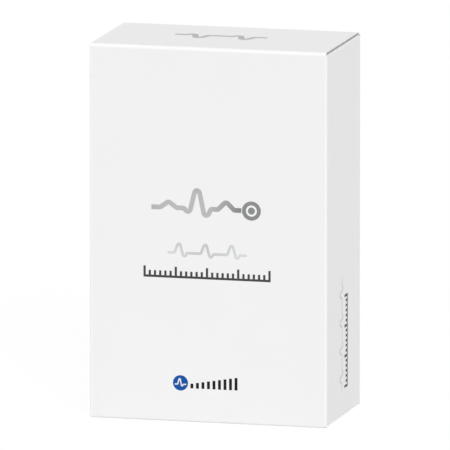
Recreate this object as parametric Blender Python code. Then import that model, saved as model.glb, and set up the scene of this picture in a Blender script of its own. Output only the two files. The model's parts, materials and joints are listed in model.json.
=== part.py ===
# A boxed heart recorder: a white folding carton with a tuck-in lid, a folded board
# cradle inside it, a user guide, and a pocket recorder that stands in the cradle.
# Metres, +Z up. The origin is the middle of the carton's underside, the front faces -Y.

import math

import bmesh
import bpy
from mathutils import Vector

# Carton: outside size, board, and the gap kept between pieces that touch
CARTON_WIDTH = 0.116
CARTON_DEPTH = 0.0645
CARTON_HEIGHT = 0.180
BOARD = 0.0005
CONTACT_GAP = 0.0003

# Lid, tuck flap and dust flaps
FLAP_SIDE_INSET = 0.0004
LID_CORNER = 0.0012
TUCK_LENGTH = 0.014
TUCK_SIDE_CLEARANCE = 0.0007
TUCK_CORNER = 0.009
TUCK_LEAN = math.radians(10)
DUST_FLAP_LENGTH = 0.040
DUST_FLAP_TAPER = math.radians(20)
DUST_FLAP_FRONT_SETBACK = 0.0010
DUST_FLAP_REAR_SETBACK = 0.0030
DUST_FLAP_CORNER = 0.006

# Bottom closure and glue flap
BOTTOM_FLAP_LENGTH = 0.042
BOTTOM_FLAP_SETBACK = 0.0012
INNER_FLAP_SETBACK = 0.004
GLUE_FLAP_WIDTH = 0.013
GLUE_FLAP_TAPER = 0.005
GLUE_FLAP_END_CLEARANCE = 0.002

# User guide
GUIDE_SIDE_CLEARANCE = 0.005
GUIDE_TOP_CLEARANCE = 0.0158
GUIDE_COVER = 0.0003
GUIDE_PAGES = 0.0012
GUIDE_PAGE_INSET = 0.0010

# Cradle
CRADLE_BOARD = 0.0015
CRADLE_CLEARANCE = 0.0005
HEADROOM = 0.0077
COLLAR_HEIGHT_ON_RECORDER = 0.080
WINDOW_CLEARANCE = 0.0006
GRIP_NOTCH_RADIUS = 0.009
SLOT_CLEARANCE = 0.0008

# Recorder: outside, shells and seal
RECORDER_WIDTH = 0.062
RECORDER_HEIGHT = 0.100
RECORDER_SETBACK = 0.0150
RECORDER_CORNER = 0.008
SHELL_WALL = 0.0018
EDGE_ROUND = 0.0014
FRONT_SHELL_DEPTH = 0.008
SEAL_THICKNESS = 0.0008
SEAL_INSET = 0.0004

# Screws and their bosses
SCREW_INSET = 0.0058
SCREW_SHANK_RADIUS = 0.0010
SCREW_HEAD_RADIUS = 0.0019
SCREW_HEAD_HEIGHT = 0.0014
SCREW_LENGTH = 0.0085
SCREW_SEAT_THICKNESS = 0.0035
BOSS_RADIUS = 0.0034

# Display
WINDOW_WIDTH = 0.044
WINDOW_HEIGHT = 0.034
WINDOW_THICKNESS = 0.0010
WINDOW_CORNER = 0.0025
WINDOW_TOP_MARGIN = 0.012
WINDOW_LEDGE = 0.0020
DISPLAY_THICKNESS = 0.0022

# Buttons, keys and switches
BUTTON_RADIUS = 0.0075
BUTTON_PROUD = 0.0012
BUTTON_FLANGE = 0.0010
BUTTON_FLANGE_THICKNESS = 0.0008
BUTTON_EDGE = 0.0004
BUTTON_HEIGHT_UP = 0.026
KEY_WIDTH = 0.011
KEY_HEIGHT = 0.006
KEY_CORNER = 0.0022
KEY_SPREAD = 0.017
KEY_TRAVEL = 0.0005
KEY_STOP_CLEARANCE = 0.0001
SWITCH_WIDTH = 0.0050
SWITCH_THICKNESS = 0.0008
HOLD_KNOB_LENGTH = 0.007
HOLD_KNOB_WIDTH = 0.0030
HOLD_KNOB_PROUD = 0.0011
HOLD_STEM_LENGTH = 0.0034
HOLD_STEM_WIDTH = 0.0014
HOLD_STEM_REACH = 0.0004
HOLD_TRAVEL = 0.0025
HOLD_HEIGHT_UP = 0.074
HOLD_FROM_FRONT = 0.0055
LENS_RADIUS = 0.0014
LENS_LENGTH = 0.0034
LENS_TOP_MARGIN = 0.0060

# Main board and what it carries
PCB_THICKNESS = 0.0012
PCB_MARGIN = 0.0006
CHIP_THICKNESS = 0.0012
PROCESSOR_WIDTH = 0.012
PROCESSOR_UP = 0.070
AMPLIFIER_WIDTH = 0.009
AMPLIFIER_ACROSS = 0.017
MEMORY_WIDTH = 0.011
MEMORY_HEIGHT = 0.015
MEMORY_THICKNESS = 0.0010
MEMORY_ACROSS = 0.018
MEMORY_UP = 0.036
BUZZER_RADIUS = 0.0045
BUZZER_HEIGHT = 0.0015
BUZZER_ACROSS = 0.018
BUZZER_UP = 0.046

# Sockets
LEAD_SOCKET_WIDTH = 0.020
LEAD_SOCKET_DEPTH = 0.0085
LEAD_SOCKET_WALL = 0.0012
LEAD_SOCKET_PROUD = 0.0045
LEAD_SOCKET_FLANGE = 0.0014
LEAD_SOCKET_BASE = 0.0020
LEAD_SOCKET_CORNER = 0.0016
DATA_SOCKET_WIDTH = 0.0090
DATA_SOCKET_THICKNESS = 0.0032
DATA_SOCKET_WALL = 0.0004
DATA_SOCKET_LENGTH = 0.0075
DATA_SOCKET_FLOOR = 0.0010
DATA_SOCKET_UP = 0.026
PORT_COVER_LENGTH = 0.016
PORT_COVER_WIDTH = 0.0060
PORT_COVER_THICKNESS = 0.0012

# Cells, contacts and the battery door
CELL_RADIUS = 0.00525
CELL_LENGTH = 0.0445
CELL_NUB_RADIUS = 0.0019
CELL_NUB_HEIGHT = 0.0010
CELL_EDGE = 0.0005
BAY_SIDE_CLEARANCE = 0.0006
BAY_FLOOR = 0.0010
BAY_END_WALL = 0.0030
CONTACT_THICKNESS = 0.0004
CONTACT_WIDTH = 0.008
BATTERY_SPRING_LENGTH = 0.0034
BATTERY_SPRING_WIDE = 0.0036
BATTERY_SPRING_NARROW = 0.0024
BATTERY_WIRE_RADIUS = 0.0003
BATTERY_SPRING_TURNS = 3
DOOR_THICKNESS = 0.0016
DOOR_OVERLAP = 0.0030

# Belt clip
CLIP_WIDTH = 0.018
CLIP_PLATE = 0.0016
CLIP_STANDOFF = 0.0050
CLIP_BARREL_RADIUS = 0.0026
CLIP_PAD_LENGTH = 0.016
CLIP_ARM_LENGTH = 0.034
CLIP_NOSE_HEIGHT = 0.0030
CLIP_NOSE_CLEARANCE = 0.0006
CLIP_PIN_UP = 0.076
CLIP_PIN_RADIUS = 0.0010
EAR_THICKNESS = 0.0020
EAR_RADIUS = 0.0026
CLIP_SPRING_WIDTH = 0.0070
CLIP_SPRING_RADIUS = 0.0018
CLIP_WIRE_RADIUS = 0.00035
CLIP_SPRING_TURNS = 5

# How far a cutter runs past what it cuts, and how finely curves are drawn
OVERRUN = 0.001
CORNER_STEPS = 4
CIRCLE_STEPS = 20
WIRE_SIDES = 6
TURN_STEPS = 10
SMOOTH_ANGLE = math.radians(35)

# Levels inside the carton, worked out from the sizes above
HALF_WIDTH = CARTON_WIDTH / 2
HALF_DEPTH = CARTON_DEPTH / 2
LAYER = BOARD + CONTACT_GAP
MITRE_SHIFT = CONTACT_GAP / math.sqrt(2)
FLOOR_TOP = 3 * LAYER
DUST_FLAP_TOP = CARTON_HEIGHT - LAYER
SIDE_PANEL_TOP = DUST_FLAP_TOP - LAYER
TUCK_CREASE_Y = HALF_DEPTH - LAYER
TUCK_TIP_Z = CARTON_HEIGHT - TUCK_LENGTH * math.cos(TUCK_LEAN)
GUIDE_WIDTH = CARTON_WIDTH - 2 * BOARD - 2 * GUIDE_SIDE_CLEARANCE
GUIDE_HEIGHT = TUCK_TIP_Z - GUIDE_TOP_CLEARANCE - FLOOR_TOP
GUIDE_THICKNESS = 2 * GUIDE_COVER + 2 * CONTACT_GAP + GUIDE_PAGES
GUIDE_BACK_Y = HALF_DEPTH - 2 * LAYER - CONTACT_GAP
CRADLE_BACK_Y = GUIDE_BACK_Y - GUIDE_THICKNESS - CONTACT_GAP
CRADLE_FRONT_Y = CRADLE_CLEARANCE + BOARD - HALF_DEPTH
CRADLE_HALF_WIDTH = HALF_WIDTH - BOARD - CRADLE_CLEARANCE

# The recorder's lead socket stops the headroom short of the folded dust flaps, and the
# shelf under it leaves the rest of the carton's height for the accessories
BASE_Z = DUST_FLAP_TOP - BOARD - HEADROOM - LEAD_SOCKET_PROUD - RECORDER_HEIGHT
SHELF_Z = BASE_Z - CONTACT_GAP - CRADLE_BOARD
ACCESSORY_HEIGHT = SHELF_Z - CONTACT_GAP - FLOOR_TOP

# Places on the recorder: X across, Y from its front face, Z from its lower end
FRONT_Y = RECORDER_SETBACK - HALF_DEPTH
HALF_RECORDER = RECORDER_WIDTH / 2
SEAL_FRONT = FRONT_SHELL_DEPTH + CONTACT_GAP
REAR_SHELL_FRONT = SEAL_FRONT + SEAL_THICKNESS + CONTACT_GAP
CELL_CENTRE = REAR_SHELL_FRONT + BAY_FLOOR + CONTACT_GAP + CELL_RADIUS
DOOR_FRONT = CELL_CENTRE + CELL_RADIUS + CONTACT_GAP
RECORDER_DEPTH = DOOR_FRONT + DOOR_THICKNESS
DISPLAY_FRONT = SHELL_WALL + CONTACT_GAP
PCB_FRONT = DISPLAY_FRONT + DISPLAY_THICKNESS + CONTACT_GAP
PCB_BACK = PCB_FRONT + PCB_THICKNESS
CHIP_FRONT = PCB_BACK + CONTACT_GAP
SWITCH_FRONT = PCB_FRONT - CONTACT_GAP - SWITCH_THICKNESS
KEY_BACK = SWITCH_FRONT - KEY_TRAVEL - KEY_STOP_CLEARANCE
WINDOW_TOP = RECORDER_HEIGHT - WINDOW_TOP_MARGIN
WINDOW_BASE = WINDOW_TOP - WINDOW_HEIGHT
KEY_UP = (WINDOW_BASE + BUTTON_HEIGHT_UP + BUTTON_RADIUS) / 2
CELL_SPREAD = CELL_RADIUS + CONTACT_GAP
BAY_HALF_WIDTH = CELL_SPREAD + CELL_RADIUS + BAY_SIDE_CLEARANCE
CELL_LOW = CONTACT_GAP + CONTACT_THICKNESS + CONTACT_GAP
SPRING_ROOM = CONTACT_GAP + BATTERY_SPRING_LENGTH + CONTACT_GAP
BAY_LENGTH = CELL_LOW + CELL_LENGTH + SPRING_ROOM
BAY_TOP = BAY_END_WALL + BAY_LENGTH
DOOR_HALF_WIDTH = BAY_HALF_WIDTH + DOOR_OVERLAP
DOOR_TOP = BAY_TOP + DOOR_OVERLAP
CLIP_BACK = RECORDER_DEPTH + CLIP_STANDOFF + CLIP_PLATE
CLIP_PIN_BACK = CLIP_BACK - CLIP_BARREL_RADIUS
EAR_HALF_SPAN = CLIP_WIDTH / 2 + CONTACT_GAP
LEAD_SOCKET_CENTRE = REAR_SHELL_FRONT + SHELL_WALL + LEAD_SOCKET_DEPTH / 2
DATA_SOCKET_CENTRE = (REAR_SHELL_FRONT + RECORDER_DEPTH) / 2
SCREW_SEAT = REAR_SHELL_FRONT + SCREW_SEAT_THICKNESS
SCREW_PLACES = [
    (side * (HALF_RECORDER - SCREW_INSET), up)
    for side in (-1, 1)
    for up in (SCREW_INSET, RECORDER_HEIGHT - SCREW_INSET)
]

# Colour, roughness and metallic value of each finish
FINISHES = {
    "coated_board": ((0.88, 0.88, 0.88), 0.42, 0.0),
    "cradle_board": ((0.84, 0.83, 0.80), 0.80, 0.0),
    "paper": ((0.86, 0.86, 0.84), 0.75, 0.0),
    "white_plastic": ((0.82, 0.83, 0.84), 0.38, 0.0),
    "grey_plastic": ((0.30, 0.32, 0.34), 0.45, 0.0),
    "blue_plastic": ((0.03, 0.12, 0.42), 0.35, 0.0),
    "rubber": ((0.06, 0.06, 0.07), 0.75, 0.0),
    "window": ((0.02, 0.03, 0.04), 0.05, 0.0),
    "display": ((0.05, 0.07, 0.09), 0.15, 0.0),
    "circuit_board": ((0.02, 0.16, 0.07), 0.50, 0.0),
    "chip": ((0.02, 0.02, 0.022), 0.55, 0.0),
    "steel": ((0.60, 0.60, 0.62), 0.30, 1.0),
    "cell": ((0.12, 0.13, 0.15), 0.35, 0.2),
}


def clear_scene():
    for item in list(bpy.data.objects):
        bpy.data.objects.remove(item, do_unlink=True)


def finish_of(name, finish):
    colour, roughness, metallic = FINISHES[finish]
    made = bpy.data.materials.new(name + "_" + finish)
    made.use_nodes = True
    shader = made.node_tree.nodes["Principled BSDF"]
    shader.inputs["Base Color"].default_value = (*colour, 1.0)
    shader.inputs["Roughness"].default_value = roughness
    shader.inputs["Metallic"].default_value = metallic
    made.diffuse_color = (*colour, 1.0)
    return made


# Outlines in two dimensions, as lists of points


def rectangle(low_u, low_v, high_u, high_v):
    return [(low_u, low_v), (high_u, low_v), (high_u, high_v), (low_u, high_v)]


def arc(centre_u, centre_v, radius, start, end, steps):
    """Points from angle start to angle end, both in degrees."""
    points = []
    for step in range(steps + 1):
        angle = math.radians(start + (end - start) * step / steps)
        points.append((centre_u + radius * math.cos(angle), centre_v + radius * math.sin(angle)))
    return points


def circle(centre_u, centre_v, radius, steps=CIRCLE_STEPS):
    return arc(centre_u, centre_v, radius, 0, 360, steps)[:-1]


def rounded(low_u, low_v, high_u, high_v, radius, steps=CORNER_STEPS):
    corners = (
        (high_u - radius, low_v + radius, 270),
        (high_u - radius, high_v - radius, 0),
        (low_u + radius, high_v - radius, 90),
        (low_u + radius, low_v + radius, 180),
    )
    points = []
    for centre_u, centre_v, start in corners:
        points += arc(centre_u, centre_v, radius, start, start + 90, steps)
    return points


# Solids as stacks of rings: neighbouring rings are bridged and the two ends are capped


def ring(outline, axis, level):
    if axis == "X":
        return [(level, u, v) for u, v in outline]
    if axis == "Y":
        return [(u, level, v) for u, v in outline]
    return [(u, v, level) for u, v in outline]


def prism(outline, axis, low, high):
    return [ring(outline, axis, low), ring(outline, axis, high)]


def block(low, high):
    return prism(rectangle(low[0], low[1], high[0], high[1]), "Z", low[2], high[2])


def turned(profile, axis, centre_u, centre_v, steps=CIRCLE_STEPS):
    """profile is a list of (radius, level) along the axis."""
    return [ring(circle(centre_u, centre_v, radius, steps), axis, level) for radius, level in profile]


def coil(centre, axis, length, start_radius, end_radius, wire_radius, turns):
    """A helical wire whose coil radius runs from start_radius to end_radius along the axis."""
    steps = turns * TURN_STEPS
    path = []
    for step in range(steps + 1):
        share = step / steps
        angle = math.tau * turns * share
        radius = start_radius + (end_radius - start_radius) * share
        along = wire_radius + (length - 2 * wire_radius) * share
        across, up = radius * math.cos(angle), radius * math.sin(angle)
        place = (along, across, up) if axis == "X" else (across, up, along)
        path.append(Vector(centre) + Vector(place))
    rings = []
    for index, point in enumerate(path):
        before, after = path[max(index - 1, 0)], path[min(index + 1, steps)]
        along = (after - before).normalized()
        spine = Vector((1, 0, 0)) if axis == "X" else Vector((0, 0, 1))
        side = along.cross(spine).normalized()
        over = side.cross(along)
        rings.append(
            [
                point + wire_radius * (math.cos(turn) * side + math.sin(turn) * over)
                for turn in (math.tau * number / WIRE_SIDES for number in range(WIRE_SIDES))
            ]
        )
    return rings


def mesh_of(name, solids, origin):
    """One mesh from one or more stacks of rings, with its points measured from the origin."""
    shape = bmesh.new()
    for rings in solids:
        loops = [[shape.verts.new(Vector(point) - Vector(origin)) for point in one] for one in rings]
        shape.faces.new(loops[0])
        shape.faces.new(loops[-1])
        for low, high in zip(loops, loops[1:]):
            for index in range(len(low)):
                shape.faces.new((low[index - 1], low[index], high[index], high[index - 1]))
    bmesh.ops.recalc_face_normals(shape, faces=shape.faces)
    mesh = bpy.data.meshes.new(name)
    shape.to_mesh(mesh)
    shape.free()
    mesh.shade_smooth()
    mesh.set_sharp_from_angle(angle=SMOOTH_ANGLE)
    return mesh


def piece(name, finish, rings, origin=(0, 0, 0)):
    """A visible sub-part, with its own material and its origin where its joint turns."""
    made = bpy.data.objects.new(name, mesh_of(name, [rings], origin))
    made.location = origin
    made.data.materials.append(finish_of(name, finish))
    bpy.context.scene.collection.objects.link(made)
    return made


def carve(target, label, solids, operation="DIFFERENCE"):
    """Cuts the solids out of the target, or joins them to it, with a live Boolean."""
    tool = bpy.data.objects.new(target.name + "_" + label, mesh_of(label, solids, (0, 0, 0)))
    tool.hide_render = True
    tool.display_type = "WIRE"
    bpy.context.scene.collection.objects.link(tool)
    step = target.modifiers.new(label, "BOOLEAN")
    step.operation = operation
    step.solver = "EXACT"
    step.object = tool


def settle_booleans():
    """Turns every cut piece into a plain mesh with its own sharp edges, and drops the tools."""
    bpy.context.view_layer.update()
    graph = bpy.context.evaluated_depsgraph_get()
    cut_pieces = [item for item in bpy.data.objects if item.modifiers]
    settled = [bpy.data.meshes.new_from_object(item.evaluated_get(graph)) for item in cut_pieces]
    for item, mesh in zip(cut_pieces, settled):
        item.modifiers.clear()
        item.data = mesh
        mesh.name = item.name
        mesh.set_sharp_from_angle(angle=SMOOTH_ANGLE)
    for item in list(bpy.data.objects):
        if item.hide_render:
            bpy.data.objects.remove(item, do_unlink=True)


# The carton


def make_walls():
    """Four wall panels, mitred at the upright creases."""
    outer_x, inner_x = HALF_WIDTH - MITRE_SHIFT, HALF_WIDTH - MITRE_SHIFT - BOARD
    outer_y, inner_y = HALF_DEPTH - MITRE_SHIFT, HALF_DEPTH - MITRE_SHIFT - BOARD
    walls = (
        ("front_panel", -1, LAYER, CARTON_HEIGHT - LAYER),
        ("back_panel", 1, FLOOR_TOP, CARTON_HEIGHT - BOARD),
    )
    for name, side, low, high in walls:
        outside, inside = side * HALF_DEPTH, side * (HALF_DEPTH - BOARD)
        outline = [(-outer_x, outside), (outer_x, outside), (inner_x, inside), (-inner_x, inside)]
        piece(name, "coated_board", prism(outline, "Z", low, high))
    for name, side in (("left_side_panel", -1), ("right_side_panel", 1)):
        outside, inside = side * HALF_WIDTH, side * (HALF_WIDTH - BOARD)
        outline = [(outside, -outer_y), (outside, outer_y), (inside, inner_y), (inside, -inner_y)]
        piece(name, "coated_board", prism(outline, "Z", 2 * LAYER, SIDE_PANEL_TOP))


def make_glue_flap():
    """The strip folded from the left side panel and glued inside the back panel."""
    root, tip = BOARD + CONTACT_GAP - HALF_WIDTH, BOARD + CONTACT_GAP - HALF_WIDTH + GLUE_FLAP_WIDTH
    low = FLOOR_TOP + GLUE_FLAP_END_CLEARANCE
    high = TUCK_TIP_Z - GLUE_FLAP_END_CLEARANCE
    outline = [(root, low), (tip, low + GLUE_FLAP_TAPER), (tip, high - GLUE_FLAP_TAPER), (root, high)]
    outside = HALF_DEPTH - LAYER
    piece("glue_flap", "coated_board", prism(outline, "Y", outside - BOARD, outside))


def make_lid():
    """The top closure, hinged on the front panel's upper edge."""
    half = HALF_WIDTH - FLAP_SIDE_INSET
    rear = TUCK_CREASE_Y
    outline = [
        (-half, -HALF_DEPTH),
        (half, -HALF_DEPTH),
        (half, rear - LID_CORNER),
        (half - LID_CORNER, rear),
        (LID_CORNER - half, rear),
        (-half, rear - LID_CORNER),
    ]
    hinge = (0, -HALF_DEPTH, CARTON_HEIGHT)
    lid = prism(outline, "Z", CARTON_HEIGHT - BOARD, CARTON_HEIGHT)
    piece("lid_panel", "coated_board", lid, hinge)


def make_tuck_flap():
    """The tongue at the lid's rear edge. It leans in, so its tip clears the back panel."""
    half = HALF_WIDTH - BOARD - TUCK_SIDE_CLEARANCE
    start = LAYER + BOARD * math.sin(TUCK_LEAN)
    outline = [(half, -start), (-half, -start)]
    outline += arc(TUCK_CORNER - half, TUCK_CORNER - TUCK_LENGTH, TUCK_CORNER, 180, 270, CORNER_STEPS)
    outline += arc(half - TUCK_CORNER, TUCK_CORNER - TUCK_LENGTH, TUCK_CORNER, 270, 360, CORNER_STEPS)
    flap = piece("tuck_flap", "coated_board", prism(outline, "Y", -BOARD, 0))
    flap.location = (0, TUCK_CREASE_Y, CARTON_HEIGHT)
    flap.rotation_euler = (-TUCK_LEAN, 0, 0)


def make_dust_flaps():
    """Two flaps folded in from the side panels, tapered towards the lid's hinge."""
    front = LAYER + DUST_FLAP_FRONT_SETBACK - HALF_DEPTH
    rear = HALF_DEPTH - DUST_FLAP_REAR_SETBACK
    for name, side in (("left_dust_flap", -1), ("right_dust_flap", 1)):
        crease, tip = side * HALF_WIDTH, side * (HALF_WIDTH - DUST_FLAP_LENGTH)
        tip_front = front + DUST_FLAP_LENGTH * math.tan(DUST_FLAP_TAPER)
        outline = [
            (crease, front),
            (tip, tip_front),
            (tip, rear - DUST_FLAP_CORNER),
            (tip + side * DUST_FLAP_CORNER, rear),
            (crease, rear),
        ]
        flap = prism(outline, "Z", DUST_FLAP_TOP - BOARD, DUST_FLAP_TOP)
        piece(name, "coated_board", flap, (crease, 0, DUST_FLAP_TOP))


def make_bottom():
    """The glued bottom: an outer and an inner full flap, and two short side flaps between them."""
    half = HALF_WIDTH - FLAP_SIDE_INSET
    low, high = (-half, -HALF_DEPTH, 0), (half, HALF_DEPTH - CONTACT_GAP, BOARD)
    piece("bottom_outer_flap", "coated_board", block(low, high))
    half -= LAYER
    low = (-half, INNER_FLAP_SETBACK - HALF_DEPTH, 2 * LAYER)
    high = (half, HALF_DEPTH, 2 * LAYER + BOARD)
    piece("bottom_inner_flap", "coated_board", block(low, high))
    reach = HALF_DEPTH - LAYER - BOTTOM_FLAP_SETBACK
    for name, side in (("bottom_left_flap", -1), ("bottom_right_flap", 1)):
        ends = sorted((side * HALF_WIDTH, side * (HALF_WIDTH - BOTTOM_FLAP_LENGTH)))
        low, high = (ends[0], -reach, LAYER), (ends[1], reach, LAYER + BOARD)
        piece(name, "coated_board", block(low, high))


# The user guide and the cradle


def make_guide():
    """A stapled booklet: its pages, and a cover folded round them at the left."""
    left, right = -GUIDE_WIDTH / 2, GUIDE_WIDTH / 2
    back, front = GUIDE_BACK_Y, GUIDE_BACK_Y - GUIDE_THICKNESS
    cover = [
        (right, front),
        (right, front + GUIDE_COVER),
        (left + GUIDE_COVER, front + GUIDE_COVER),
        (left + GUIDE_COVER, back - GUIDE_COVER),
        (right, back - GUIDE_COVER),
        (right, back),
        (left, back),
        (left, front),
    ]
    high = FLOOR_TOP + GUIDE_HEIGHT
    piece("guide_cover", "paper", prism(cover, "Z", FLOOR_TOP, high))
    skin = GUIDE_COVER + CONTACT_GAP
    low = (left + skin, front + skin, FLOOR_TOP + CONTACT_GAP)
    high = (right - GUIDE_PAGE_INSET, back - skin, high - GUIDE_PAGE_INSET)
    piece("guide_pages", "paper", block(low, high))


def make_cradle():
    """A folded board stand: two legs under a shelf, two posts on it, and a collar on top."""
    wide, front, back = CRADLE_HALF_WIDTH, CRADLE_FRONT_Y, CRADLE_BACK_Y
    shelf_top = SHELF_Z + CRADLE_BOARD
    collar_low = BASE_Z + COLLAR_HEIGHT_ON_RECORDER
    for name, side in (("left", -1), ("right", 1)):
        ends = sorted((side * wide, side * (wide - CRADLE_BOARD)))
        low, high = (ends[0], front, FLOOR_TOP), (ends[1], back, FLOOR_TOP + ACCESSORY_HEIGHT)
        piece("cradle_" + name + "_leg", "cradle_board", block(low, high))
        low = (ends[0], front, shelf_top + CONTACT_GAP)
        high = (ends[1], back, collar_low - CONTACT_GAP)
        piece("cradle_" + name + "_post", "cradle_board", block(low, high))
    shelf = piece("cradle_shelf", "cradle_board", block((-wide, front, SHELF_Z), (wide, back, shelf_top)))
    slot = DOOR_HALF_WIDTH + SLOT_CLEARANCE
    low = (-slot, FRONT_Y + DOOR_FRONT - SLOT_CLEARANCE, SHELF_Z - OVERRUN)
    high = (slot, FRONT_Y + RECORDER_DEPTH + SLOT_CLEARANCE, shelf_top + OVERRUN)
    carve(shelf, "door_slot", [block(low, high)])
    collar_top = collar_low + CRADLE_BOARD
    collar = piece("cradle_collar", "cradle_board", block((-wide, front, collar_low), (wide, back, collar_top)))
    half = HALF_RECORDER + WINDOW_CLEARANCE
    clip_half = EAR_HALF_SPAN + EAR_THICKNESS + WINDOW_CLEARANCE
    head_back = FRONT_Y + RECORDER_DEPTH + WINDOW_CLEARANCE
    window = [
        (-half, FRONT_Y - WINDOW_CLEARANCE),
        (half, FRONT_Y - WINDOW_CLEARANCE),
        (half, head_back),
        (clip_half, head_back),
        (clip_half, FRONT_Y + CLIP_BACK + WINDOW_CLEARANCE),
        (-clip_half, FRONT_Y + CLIP_BACK + WINDOW_CLEARANCE),
        (-clip_half, head_back),
        (-half, head_back),
    ]
    low, high = collar_low - OVERRUN, collar_top + OVERRUN
    carve(collar, "window", [prism(window, "Z", low, high)])
    middle = FRONT_Y + RECORDER_DEPTH / 2
    notches = [prism(circle(side * half, middle, GRIP_NOTCH_RADIUS), "Z", low, high) for side in (-1, 1)]
    carve(collar, "grip_notches", notches)


# The recorder. Its outlines are drawn across and up, and moved to its place in the cradle


def across_up(outline):
    return [(u, v + BASE_Z) for u, v in outline]


def deep(level):
    return FRONT_Y + level


def slab(outline, low, high):
    """An outline drawn across and up, extruded from one depth to another."""
    return prism(across_up(outline), "Y", deep(low), deep(high))


def body_outline(inset):
    half = HALF_RECORDER - inset
    return rounded(-half, inset, half, RECORDER_HEIGHT - inset, RECORDER_CORNER - inset)


def rounded_body(flat_end, edge_end):
    """A length of the recorder's body whose far end, at edge_end, has a rounded rim."""
    direction = 1 if edge_end > flat_end else -1
    rings = [ring(across_up(body_outline(0)), "Y", deep(flat_end))]
    for inset, rise in arc(EDGE_ROUND, 0, EDGE_ROUND, 180, 90, CORNER_STEPS):
        level = edge_end - direction * (EDGE_ROUND - rise)
        rings.append(ring(across_up(body_outline(inset)), "Y", deep(level)))
    return rings


def pegs(radius, low, high):
    """One round peg at each screw place."""
    return [slab(circle(across, up, radius), low, high) for across, up in SCREW_PLACES]


def make_front_shell():
    shell = piece("recorder_front_shell", "white_plastic", rounded_body(FRONT_SHELL_DEPTH, 0))
    cavity = slab(body_outline(SHELL_WALL), SHELL_WALL, FRONT_SHELL_DEPTH + OVERRUN)
    carve(shell, "cavity", [cavity])
    carve(shell, "bosses", pegs(BOSS_RADIUS, SHELL_WALL / 2, FRONT_SHELL_DEPTH), "UNION")
    hole = SCREW_SHANK_RADIUS + CONTACT_GAP
    carve(shell, "boss_holes", pegs(hole, SHELL_WALL, FRONT_SHELL_DEPTH + OVERRUN))
    half = WINDOW_WIDTH / 2
    sunk = rounded(-half, WINDOW_BASE, half, WINDOW_TOP, WINDOW_CORNER)
    sight = rounded(
        WINDOW_LEDGE - half,
        WINDOW_BASE + WINDOW_LEDGE,
        half - WINDOW_LEDGE,
        WINDOW_TOP - WINDOW_LEDGE,
        WINDOW_CORNER,
    )
    carve(shell, "window_seat", [slab(sunk, -OVERRUN, WINDOW_THICKNESS + CONTACT_GAP)])
    carve(shell, "window_hole", [slab(sight, 0, SHELL_WALL + OVERRUN)])
    holes = [slab(circle(0, BUTTON_HEIGHT_UP, BUTTON_RADIUS + CONTACT_GAP), -OVERRUN, SHELL_WALL + OVERRUN)]
    lens_up = RECORDER_HEIGHT - LENS_TOP_MARGIN
    holes.append(slab(circle(0, lens_up, LENS_RADIUS + CONTACT_GAP), -OVERRUN, SHELL_WALL + OVERRUN))
    for side in (-1, 1):
        holes.append(slab(key_outline(side, CONTACT_GAP), -OVERRUN, SHELL_WALL + OVERRUN))
    carve(shell, "button_holes", holes)
    carve(shell, "hold_slot", [hold_slot()])


def make_rear_shell():
    shell = piece("recorder_rear_shell", "white_plastic", rounded_body(REAR_SHELL_FRONT, RECORDER_DEPTH))
    inner, post = HALF_RECORDER - SHELL_WALL, 2 * SCREW_INSET
    bay_side = BAY_HALF_WIDTH + SHELL_WALL
    upper_low = DOOR_TOP + SHELL_WALL
    upper_side = RECORDER_HEIGHT - post
    top = RECORDER_HEIGHT - SHELL_WALL
    upper = [
        (-inner, upper_low),
        (inner, upper_low),
        (inner, upper_side),
        (inner - post, upper_side),
        (inner - post, top),
        (post - inner, top),
        (post - inner, upper_side),
        (-inner, upper_side),
    ]
    floor = RECORDER_DEPTH - SHELL_WALL
    pockets = [slab(upper, REAR_SHELL_FRONT - OVERRUN, floor)]
    for side in (-1, 1):
        ends = sorted((side * bay_side, side * inner))
        pocket = rectangle(ends[0], post, ends[1], DOOR_TOP)
        pockets.append(slab(pocket, REAR_SHELL_FRONT - OVERRUN, DOOR_FRONT - SHELL_WALL))
    carve(shell, "pockets", pockets)
    bay = rectangle(-BAY_HALF_WIDTH, BAY_END_WALL, BAY_HALF_WIDTH, BAY_TOP)
    carve(shell, "battery_bay", [slab(bay, REAR_SHELL_FRONT + BAY_FLOOR, RECORDER_DEPTH + OVERRUN)])
    wide = DOOR_HALF_WIDTH + CONTACT_GAP
    seat = rectangle(-wide, -OVERRUN, wide, DOOR_TOP + CONTACT_GAP)
    carve(shell, "door_seat", [slab(seat, DOOR_FRONT - CONTACT_GAP, RECORDER_DEPTH + OVERRUN)])
    carve(shell, "screw_holes", pegs(SCREW_SHANK_RADIUS + CONTACT_GAP, REAR_SHELL_FRONT - OVERRUN, SCREW_SEAT))
    well = pegs(SCREW_HEAD_RADIUS + CONTACT_GAP, SCREW_SEAT, RECORDER_DEPTH + OVERRUN)
    carve(shell, "screw_wells", well)
    carve(shell, "lead_socket_hole", [lead_socket_rings(CONTACT_GAP, top - OVERRUN, RECORDER_HEIGHT + OVERRUN)])
    carve(shell, "data_socket_hole", [data_socket_rings(CONTACT_GAP, inner - OVERRUN, HALF_RECORDER + OVERRUN)])
    carve(shell, "clip_ears", [ear(-1), ear(1)], "UNION")
    reach = EAR_HALF_SPAN + EAR_THICKNESS + OVERRUN
    carve(shell, "pin_hole", [pin_rings(CLIP_PIN_RADIUS + CONTACT_GAP, -reach, reach)])


def make_seal():
    """The rubber ring between the two shells."""
    seal = piece("shell_seal", "rubber", slab(body_outline(SEAL_INSET), SEAL_FRONT, SEAL_FRONT + SEAL_THICKNESS))
    inside = slab(body_outline(SHELL_WALL), SEAL_FRONT - OVERRUN, SEAL_FRONT + SEAL_THICKNESS + OVERRUN)
    carve(seal, "inside", [inside])


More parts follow.
